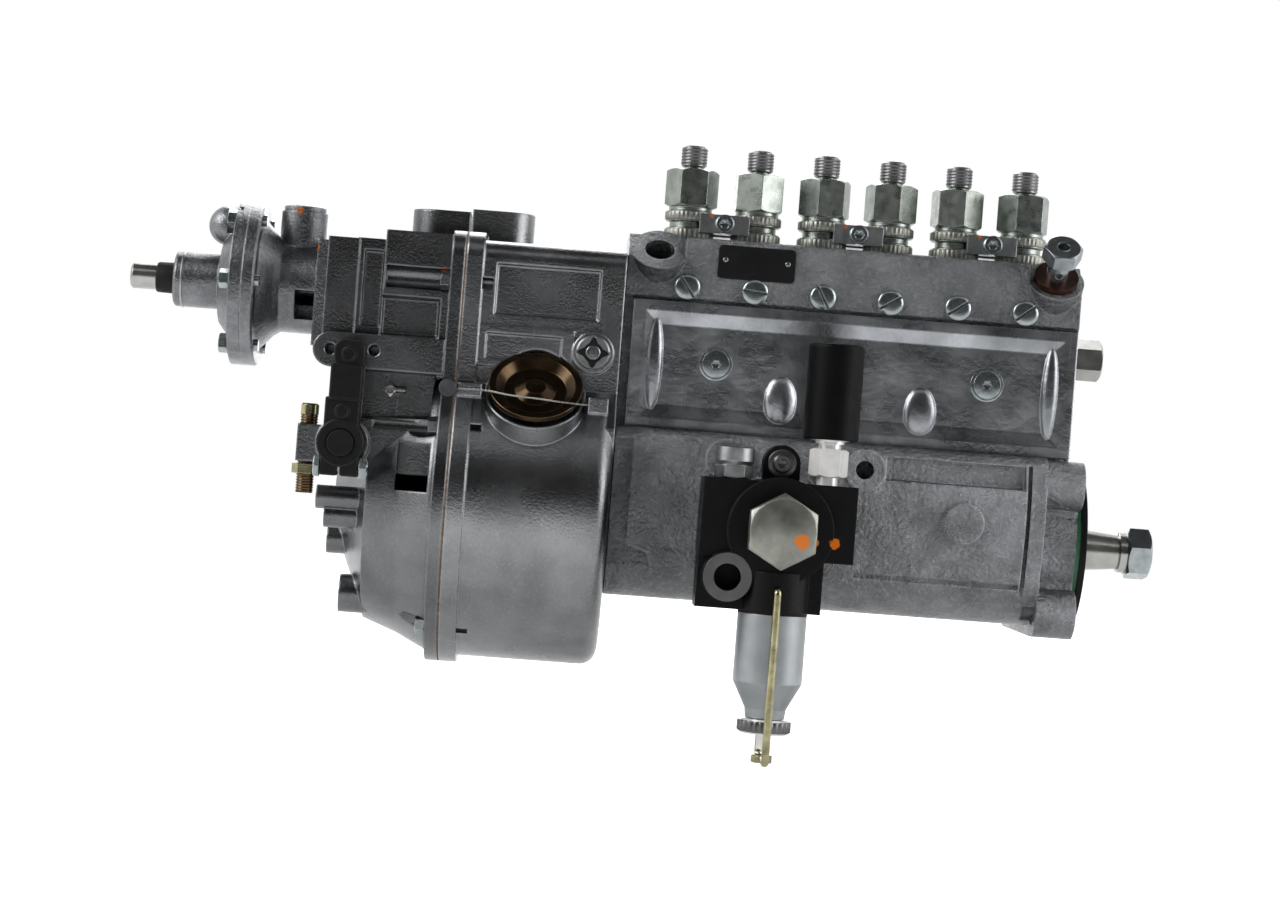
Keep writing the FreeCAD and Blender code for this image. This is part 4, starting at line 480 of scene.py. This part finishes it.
def thread(mesh, place, axis, root, crest, length, pitch):
    """A screw thread standing on a plain cylinder; the profile is each radius and its share of a turn."""
    matrix = frame_at(place, axis)
    profile = ((root, 0.0), (crest, 0.36), (crest, 0.54), (root, 0.90), (root, 1.0))
    steps = 36
    before = None
    for step in range(int(steps * (length / pitch + 1)) + 1):
        angle = math.tau * step / steps
        lift = pitch * (step / steps - 1)
        row = []
        for radius, share in profile:
            height = min(max(lift + share * pitch, 0), length)
            corner = Vector((radius * math.cos(angle), radius * math.sin(angle), height))
            row.append(mesh.verts.new(matrix @ corner))
        if before:
            for low in range(len(profile) - 1):
                mesh.faces.new((before[low], before[low + 1], row[low + 1], row[low]))
        before = row
    bmesh.ops.dissolve_degenerate(mesh, dist=1e-7, edges=mesh.edges)


def rounded_outline(left, right, low, high, corner):
    """Corner points of an upright rectangle with round corners, as seen from the front."""
    steps = 6
    outline = []
    for x, z, turn in ((right - corner, high - corner, 0), (left + corner, high - corner, 90),
                       (left + corner, low + corner, 180), (right - corner, low + corner, 270)):
        for step in range(steps + 1):
            angle = math.radians(turn + 90 * step / steps)
            outline.append((x + corner * math.cos(angle), z + corner * math.sin(angle)))
    return outline


def plate(mesh, outline, back, front, edge):
    """A plate with a bevelled front edge, from back to front along Y."""
    count = len(outline)
    loops = []
    for y, inset in ((back, 0.0), (front + edge, 0.0), (front, edge)):
        loop = []
        for index, (x, z) in enumerate(outline):
            after = outline[(index + 1) % count]
            before = outline[index - 1]
            along = Vector((after[0] - before[0], after[1] - before[1])).normalized()
            loop.append(mesh.verts.new((x - along.y * inset, y, z + along.x * inset)))
        loops.append(loop)
    join_loops(mesh, loops)


# Threads, serrations and screws

def delivery_threads():
    foot = 0.1700
    mesh = bmesh.new()
    for x in ELEMENTS:
        thread(mesh, (x, 0, foot), UP, root=0.00602, crest=0.00636, length=0.0078, pitch=0.0015)
    finished_mesh("delivery_threads", mesh, "dark_steel")


def holder_serrations():
    """Two serrated collars round each delivery valve holder."""
    rim = toothed(0.01198, depth=0.00042, teeth=36)
    root = 0.01152
    bevel = 0.0004
    mesh = bmesh.new()
    for x in ELEMENTS:
        for low, high in ((0.1342, 0.1386), (0.1429, 0.1470)):
            rings = [(root, low), (rim, low + bevel), (rim, high - bevel), (root, high)]
            skin(mesh, rings, frame_at((x, 0, 0), UP), steps=144)
    finished_mesh("holder_serrations", mesh, "grey_zinc")


def star_screw(mesh, matrix, radius, height, socket, shank, depth):
    """A round-headed screw with a six-lobed socket, its head's underside at the origin."""
    lobe = 0.00022
    rings = [
        (shank, -depth), (shank, 0), (radius - 0.0002, 0), (radius, 0.0003), (radius, height - 0.0007),
        (radius - 0.0007, height), (star(socket, lobe), height),
        (star(socket - 0.0002, lobe), height - 0.0016), (socket * 0.3, height - 0.0019),
    ]
    skin(mesh, rings, matrix)


def clamp_screws():
    mesh = bmesh.new()
    for x in CLAMPS:
        matrix = frame_at((x, -0.015, 0.1415), FRONT)
        star_screw(mesh, matrix, radius=0.0046, height=0.0034, socket=0.0022, shank=0.003, depth=0.029)
    finished_mesh("clamp_star_screws", mesh, "blue_zinc", replaced="clamp_screws")


def gallery_slotted_screws():
    """Low domed heads, each of two half moons with the slot between them."""
    shank = 0.0039
    radius = 0.0060
    half_slot = 0.0007
    dome = ((0, 0.0007), (0, 0.0014), (0.0004, 0.0018), (0.0020, 0.0021), (0.0036, 0.0022))
    slot_angles = (-55, -5, -61, 33, 35, 38)
    steps = 24
    mesh = bmesh.new()
    for x, spin in zip(ELEMENTS, slot_angles):
        middle = frame_at((x, -0.0290, 0.1096), FRONT)
        skin(mesh, [(shank, -0.008), (shank, 0), (radius, 0), (radius, 0.0008)], middle, steps=48)
        for side in (0, 180):
            matrix = middle @ Matrix.Rotation(math.radians(spin + side), 4, "Z")
            loops = []
            for inset, height in dome:
                reach = radius - inset
                start = math.asin(half_slot / reach)
                loop = []
                for step in range(steps + 1):
                    angle = start + (math.pi - 2 * start) * step / steps
                    corner = Vector((reach * math.cos(angle), reach * math.sin(angle), height))
                    loop.append(mesh.verts.new(matrix @ corner))
                loops.append(loop)
            join_loops(mesh, loops)
    finished_mesh("gallery_slotted_screws", mesh, "blue_zinc", replaced="gallery_screws")


def inspection_cover_screws():
    """Washer, low domed head and star socket on each side of the cover."""
    mesh = bmesh.new()
    for index in (0, 4):
        x = ELEMENTS[index] + PITCH / 2
        rings = [
            (0.0025, -0.014), (0.0025, 0), (0.0077, 0), (0.0078, 0.0003), (0.0078, 0.0012),
            (0.0070, 0.0014), (0.0069, 0.0012), (0.0066, 0.0012), (0.0064, 0.0024),
            (0.0058, 0.0026), (star(0.0019, 0.0002), 0.0026), (star(0.0018, 0.0002), 0.0012),
            (0.0006, 0.0010),
        ]
        skin(mesh, rings, frame_at((x, -0.0302, 0.0744), FRONT))
    finished_mesh("cover_star_screws", mesh, "blue_zinc", replaced="cover_screws")


def feed_pump_screw():
    """Screw and washer in the ear above the feed pump."""
    mesh = bmesh.new()
    matrix = frame_at((FEED_X, -0.0636, 0.0303), FRONT)
    skin(mesh, [(0.0066, 0), (0.0066, 0.0006), (0.0060, 0.0010), (0.0045, 0.0010)], matrix)
    star_screw(mesh, matrix, radius=0.0043, height=0.0040, socket=0.0021, shank=0.003, depth=0.010)
    finished_mesh("feed_pump_screw", mesh, "dark_steel")


def feed_pump_hexagons():
    """The feed pump's plug, a corner upward, and the primer's fitting, a flat to the front."""
    mesh = bmesh.new()
    rings = [(0.011, -0.007), (0.011, 0), (0.014, 0), (0.014, 0.003)]
    rings += turned_hexagon(flats=0.030, low=0.003, high=0.015, turn=math.pi / 6)
    skin(mesh, rings, frame_at((FEED_X, FEED_FRONT, 0), FRONT))
    finished_mesh("plug_hexagon", mesh, "grey_zinc", replaced="feed_pump_plug")
    mesh = bmesh.new()
    rings = [(0.0048, -0.010), (0.0048, 0.0038)]
    rings += turned_hexagon(flats=0.0155, low=0.0038, high=0.0166)
    rings += [(0.0052, 0.0168), (0.0052, 0.0188), (0.0066, 0.0188), (0.0066, 0.0200),
              (0.0086, 0.0206), (0.0086, 0.053), (0.0031, 0.053), (0.0031, 0.049),
              (0.0061, 0.049), (0.0061, 0.0204)]
    skin(mesh, rings, frame_at((FEED_X + 0.0205, -0.070, FEED_TOP), UP))
    finished_mesh("primer_hexagon", mesh, "nickel", replaced="primer_fitting")


def inlet_face():
    """Machined ring on the face of the feed pump's inlet."""
    mesh = bmesh.new()
    bore, rim, sunk, proud = 0.0062, 0.0110, -0.0004, 0.00015
    rings = [(bore, sunk), (rim, sunk), (rim, proud), (bore, proud)]
    skin(mesh, rings, frame_at((FEED_X - 0.0225, FEED_FRONT, -0.0223), FRONT), closed=True)
    finished_mesh("inlet_face", mesh, "dark_steel")


def knurled_bowl_nut():
    mesh = bmesh.new()
    bowl_floor = -0.0853
    root = 0.0118
    rim = toothed(0.01235, depth=0.0005, teeth=32)
    rings = [(root, -0.0062), (rim, -0.0058), (rim, -0.0016), (root, -0.0011)]
    skin(mesh, rings, frame_at((FEED_X, BOWL_Y, bowl_floor), UP), steps=128)
    finished_mesh("bowl_nut_knurl", mesh, "dark_steel", "bowl_nut_body")


def stop_screw():
    """Threaded stop screw with a plain end and its lock nut."""
    foot = (LEVER_X - 0.0162, -0.057, 0.0005)
    matrix = frame_at(foot, UP)
    mesh = bmesh.new()
    skin(mesh, [(0.0036, 0), (0.0036, 0.0362)], matrix, steps=36)
    thread(mesh, foot, UP, root=0.00362, crest=0.0041, length=0.036, pitch=0.00125)
    finished_mesh("stop_screw_rod", mesh, "gold_chromate", replaced="stop_screws")
    mesh = bmesh.new()
    plain_end = [(0.0038, 0.0355), (0.0041, 0.0358), (0.0041, 0.0402), (0.0034, 0.0409)]
    skin(mesh, plain_end, matrix, steps=36)
    side = many_sided(6, 0.011)
    nut = [(0.0050, 0.0085), (side, 0.0088), (side, 0.0132), (0.0050, 0.0135)]
    skin(mesh, nut, matrix)
    finished_mesh("stop_screw_nut", mesh, "yellow_zinc", replaced="stop_screws")


def stepped_lever():
    """The control lever: split hub, two steps up its arm and a pad with a boss at its top."""
    mesh = bmesh.new()
    hub = [(0.0108, 0), (0.0108, 0.0093), (0.0102, 0.0099), (0.0067, 0.0099), (0.0065, 0.0090),
           (0.0061, 0.0090)]
    skin(mesh, hub, frame_at((LEVER_X, LEVER_BACK, LEVER_Z), FRONT))
    foot_front, step_front, arm_front, pad_front = -0.0757, -0.0744, -0.0758, -0.0738
    parts = (
        (-0.3564, -0.3484, 0.0095, 0.0240, 0.0012, foot_front),
        (-0.3472, -0.3388, 0.0095, 0.0240, 0.0012, foot_front),
        (-0.3560, -0.3402, 0.0240, 0.0450, 0.0010, step_front),
        (-0.3545, -0.3400, 0.0440, 0.0600, 0.0010, arm_front),
        (-0.3537, -0.3396, 0.0590, 0.0712, 0.0042, pad_front),
    )
    for left, right, low, high, corner, front in parts:
        plate(mesh, rounded_outline(left, right, low, high, corner), LEVER_BACK, front, edge=0.0006)
    boss = [(0.0036, 0), (0.0036, 0.0005), (0.0031, 0.0008), (0.0026, 0.0008), (0.0024, 0.0003)]
    for x, z, front in ((-0.3467, 0.0647, pad_front), (-0.3478, 0.0388, step_front)):
        skin(mesh, boss, frame_at((x, front, z), FRONT), steps=36)
    finished_mesh("stepped_lever", mesh, "black_steel", "lever_body", "control_lever")


def lever_bolt():
    """Clamp bolt across the lever's split foot, with its nut."""
    left = (LEVER_X - 0.0086, -0.071, LEVER_Z - 0.011)
    right = (LEVER_X + 0.0090, -0.071, LEVER_Z - 0.011)
    side = many_sided(6, 0.0095)
    head = [(0.0044, 0), (side, 0.0003), (side, 0.0036), (0.0044, 0.0042)]
    nut = [(0.0044, 0), (side, 0.0003), (side, 0.0026), (0.0044, 0.0030)]
    mesh = bmesh.new()
    skin(mesh, [(0.0021, 0), (0.0021, right[0] - left[0])], frame_at(left, RIGHT))
    skin(mesh, head, frame_at(right, RIGHT))
    skin(mesh, nut, frame_at(left, -RIGHT))
    finished_mesh("lever_bolt", mesh, "blue_zinc", "lever_body")


def bracket_screw():
    """Square nut and stud in the pocket of the governor cover."""
    mesh = bmesh.new()
    square = many_sided(4, 0.005)
    rings = [(square, 0), (square, 0.0027), (0.0022, 0.0030), (0.0016, 0.0030), (0.0014, 0.0012)]
    skin(mesh, rings, frame_at((-0.3288, -0.0446, 0.0506), FRONT), steps=64)
    stud = (-0.3264, -0.0465, 0.0507)
    thread(mesh, stud, RIGHT, root=0.0013, crest=0.0017, length=0.0045, pitch=0.0008)
    skin(mesh, [(0.0013, 0), (0.0013, 0.0046)], frame_at(stud, RIGHT), steps=24)
    finished_mesh("bracket_screw", mesh, "bright_steel")


def pocket_web():
    """Cast web that closes the back of the pocket behind the lever."""
    mesh = bmesh.new()
    outline = rounded_outline(left=-0.3425, right=-0.3085, low=0.0355, high=0.0590, corner=0.0006)
    plate(mesh, outline, back=-0.0405, front=-0.0446, edge=0.0002)
    finished_mesh("pocket_web", mesh, "governor_cast")


def vent_plug_detail():
    """Dark lobed groove and the bright button in the middle of the vent plug."""
    low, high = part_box("vent_plug")
    middle = ((low.x + high.x) / 2, low.y + 0.0002, (low.z + high.z) / 2)

    def four_lobed(angle):
        return 0.0046 + 0.0024 * abs(math.cos(2 * angle)) ** 6

    mesh = bmesh.new()
    skin(mesh, [(four_lobed, 0), (four_lobed, 0.0004)], frame_at(middle, FRONT), steps=96)
    finished_mesh("vent_plug_groove", mesh, "black_rubber")
    mesh = bmesh.new()
    button = [(0.0034, 0.0003), (0.0034, 0.0008), (0.0030, 0.0012), (0.0010, 0.0013)]
    skin(mesh, button, frame_at(middle, FRONT), steps=36)
    finished_mesh("vent_plug_button", mesh, "blue_zinc")


def compensator_trim():
    """Black collar and retaining ring where the pin enters the compensator's boss."""
    end = (BOOST_END, 0, BOOST_Z)
    mesh = bmesh.new()
    rings = [(0.0086, -0.0008), (0.0086, 0.0004), (0.0074, 0.0008), (0.0072, 0.0080),
             (0.0068, 0.0088), (0.00645, 0.0089), (0.00645, -0.0008)]
    skin(mesh, rings, frame_at(end, -RIGHT))
    finished_mesh("compensator_collar", mesh, "black_rubber")
    mesh = bmesh.new()
    rings = [(0.0133, 0.0035), (0.0136, 0.0037), (0.0136, 0.0045), (0.0133, 0.0047)]
    skin(mesh, rings, frame_at(end, RIGHT))
    finished_mesh("compensator_ring", mesh, "pale_zinc")


def bail_wire():
    """Bent wire round the bowl, with an eye round the nut's stem."""
    front, rear, high, low = -0.0935, -0.0510, -0.0270, -0.1039
    eye_middle = 0.0040
    curve = new_curve("bail_wire", radius=0.00175, roundness=6)
    curve.resolution_u = 16
    curve.use_fill_caps = True
    for leg, hook, eye in ((front, 0.012, BOWL_Y - eye_middle), (rear, -0.008, BOWL_Y + eye_middle)):
        inward = math.copysign(0.003, hook)
        add_spline(curve, "NURBS", [(FEED_X, y, z) for y, z in (
            (leg + hook, high), (leg + inward, high), (leg, high), (leg, high - 0.003),
            (leg, high - 0.010), (leg, low + 0.006), (leg, low), (leg + 2 * inward, low), (eye, low))])
    finish(bpy.data.objects.new("bail_wire", curve), "yellow_zinc", ROOT, "bail")
    mesh = bmesh.new()
    rings = [(0.00315, -0.0018), (0.0044, -0.0018), (0.0048, -0.0014), (0.0048, 0.0014),
             (0.0044, 0.0018), (0.00315, 0.0018)]
    skin(mesh, rings, frame_at((FEED_X, BOWL_Y, low), UP), steps=48, closed=True)
    finished_mesh("bail_eye", mesh, "yellow_zinc", replaced="bail")


# Plate and sealing wire

def name_plate():
    """The bare black plate riveted to the gallery."""
    left, right, low, high = -0.1815, -0.1449, 0.1150, 0.1308
    gallery_front, front = -0.0289, -0.0295
    mesh = bmesh.new()
    outline = rounded_outline(left, right, low, high, corner=0.0022)
    plate(mesh, outline, gallery_front, front, edge=0.00025)
    finished_mesh("name_plate", mesh, "black_steel")
    mesh = bmesh.new()
    rivet = [(0.0013, 0), (0.0013, 0.0003), (0.0010, 0.0006), (0.0004, 0.0007)]
    for x in (left + 0.0035, right - 0.0037):
        skin(mesh, rivet, frame_at((x, front, 0.1238), FRONT), steps=24)
    finished_mesh("plate_rivets", mesh, "blue_zinc")


def smooth_line(route):
    """Points read from the smooth spline that has the route's points as its control points."""
    curve = new_curve("route")
    curve.resolution_u = 40
    add_spline(curve, "NURBS", route)
    holder = bpy.data.objects.new("route", curve)
    line = [vertex.co.copy() for vertex in bpy.data.meshes.new_from_object(holder).vertices]
    bpy.data.objects.remove(holder)
    return line


def seal_wire():
    """Two thin strands twisted together, from the lead seal past the cap to its lug."""
    left, right, front = -0.29755, -0.2355, -0.071
    route = [
        (left, front, 0.0530), (left + 0.012, front - 0.0008, 0.0536),
        (left + 0.024, front - 0.0022, 0.0516), (left + 0.037, front - 0.0016, 0.0512),
        (left + 0.048, front - 0.0004, 0.0504), (right, front + 0.0012, 0.0500),
    ]
    line = smooth_line(route)
    strand_radius = 0.00024
    lay_radius = 0.00026
    turn_per_point = 0.62
    for strand in (0, 1):
        twisted = []
        for index, point in enumerate(line):
            angle = math.pi * strand + index * turn_per_point
            twisted.append(point + Vector((0, math.cos(angle), math.sin(angle))) * lay_radius)
        name = f"seal_strand_{strand + 1}"
        curve = new_curve(name, strand_radius, roundness=2)
        add_spline(curve, "POLY", twisted)
        finish(bpy.data.objects.new(name, curve), "bright_steel", ROOT, "seal_wire")


delivery_threads()
holder_serrations()
clamp_screws()
gallery_slotted_screws()
inspection_cover_screws()
feed_pump_screw()
feed_pump_hexagons()
inlet_face()
knurled_bowl_nut()
stop_screw()
stepped_lever()
lever_bolt()
bracket_screw()
pocket_web()
vent_plug_detail()
bail_wire()
compensator_trim()
name_plate()
seal_wire()


# Floor, light and camera

MIDDLE_X = -0.2


def studio():
    """White floor and world, two dark cards that only reflections see, and four lamps."""
    floor_size, floor_gap, floor_glow = 8, 0.0005, 0.65
    world_light = 0.62
    aim_point = Vector((MIDDLE_X, 0, 0.04))
    bpy.ops.mesh.primitive_plane_add(size=floor_size, location=(MIDDLE_X, 0, cad_box[0][2] - floor_gap))
    floor = bpy.context.active_object
    floor.name = "studio_floor"
    material, tree, shader = new_material("studio_floor")
    shader.inputs["Base Color"].default_value = (0.9, 0.9, 0.9, 1)
    shader.inputs["Roughness"].default_value = 0.9
    shader.inputs["Specular IOR Level"].default_value = 0.0
    light_path = add(tree, "ShaderNodeLightPath")
    shader.inputs["Emission Color"].default_value = (1, 1, 1, 1)
    lift = add(tree, "ShaderNodeMath", operation="MULTIPLY")
    tree.links.new(light_path.outputs["Is Camera Ray"], lift.inputs[0])
    lift.inputs[1].default_value = floor_glow
    tree.links.new(lift.outputs[0], shader.inputs["Emission Strength"])
    floor.data.materials.append(material)

    dark, tree, shader = new_material("studio_card")
    shader.inputs["Base Color"].default_value = (0.02, 0.02, 0.02, 1)
    shader.inputs["Roughness"].default_value = 1.0
    for name, place, tilt, size in (
            ("studio_card_front", (MIDDLE_X, -1.75, 0.85), math.pi / 2, (5.0, 1.9, 1)),
            ("studio_card_above", (MIDDLE_X, -0.2, 1.9), 0, (2.6, 2.4, 1))):
        bpy.ops.mesh.primitive_plane_add(size=1, location=place, rotation=(tilt, 0, 0))
        card = bpy.context.active_object
        card.name = name
        card.scale = size
        card.visible_camera = False
        card.visible_diffuse = False
        card.visible_shadow = False
        card.data.materials.append(dark)

    world = bpy.data.worlds.new("studio")
    bpy.context.scene.world = world
    world.use_nodes = True
    tree = world.node_tree
    background = tree.nodes["Background"]
    light_path = add(tree, "ShaderNodeLightPath")
    seen = light_path.outputs["Is Camera Ray"]
    for output in ("Is Glossy Ray", "Is Transmission Ray"):
        either = add(tree, "ShaderNodeMath", operation="MAXIMUM")
        tree.links.new(seen, either.inputs[0])
        tree.links.new(light_path.outputs[output], either.inputs[1])
        seen = either.outputs[0]
    strength = spread(tree, seen, world_light, 1.0, 0, 1)
    tree.links.new(strength, background.inputs["Strength"])
    background.inputs["Color"].default_value = (1, 1, 1, 1)

    for name, place, size, power in (
            ("left", (-1.5, -0.6, 0.9), 0.9, 15),
            ("right", (1.25, -0.5, 0.5), 1.0, 9),
            ("top", (MIDDLE_X, 0.95, 1.2), 0.9, 11),
            ("rim", (MIDDLE_X, 1.2, 0.4), 0.9, 4)):
        lamp = bpy.data.lights.new(name, "AREA")
        lamp.size = size
        lamp.energy = power
        thing = bpy.data.objects.new(name, lamp)
        bpy.context.scene.collection.objects.link(thing)
        thing.location = place
        aim = aim_point - Vector(place)
        thing.rotation_euler = aim.to_track_quat("-Z", "Y").to_euler()


def camera():
    """Camera fitted to the photograph, turned a little to the side and rolled."""
    focal_pixels, photo_width = 2708.70, 1280
    distance = 1.3
    yaw = math.radians(1.7769)
    roll = math.radians(4.3888)
    target = Vector((-0.21012, 0, 0.0284))
    view = Vector((math.sin(yaw), math.cos(yaw), 0))
    right = Vector((math.cos(yaw), -math.sin(yaw), 0))
    up = right.cross(view)
    leaning_right = right * math.cos(roll) + up * math.sin(roll)
    leaning_up = up * math.cos(roll) - right * math.sin(roll)
    data = bpy.data.cameras.new("camera")
    data.sensor_width = 36
    data.lens = focal_pixels / photo_width * data.sensor_width
    thing = bpy.data.objects.new("camera", data)
    bpy.context.scene.collection.objects.link(thing)
    turn = Matrix((leaning_right, leaning_up, -view)).transposed().to_4x4()
    thing.matrix_world = Matrix.Translation(target - view * distance) @ turn
    bpy.context.scene.camera = thing


studio()
camera()
bpy.context.scene.view_settings.view_transform = "Standard"
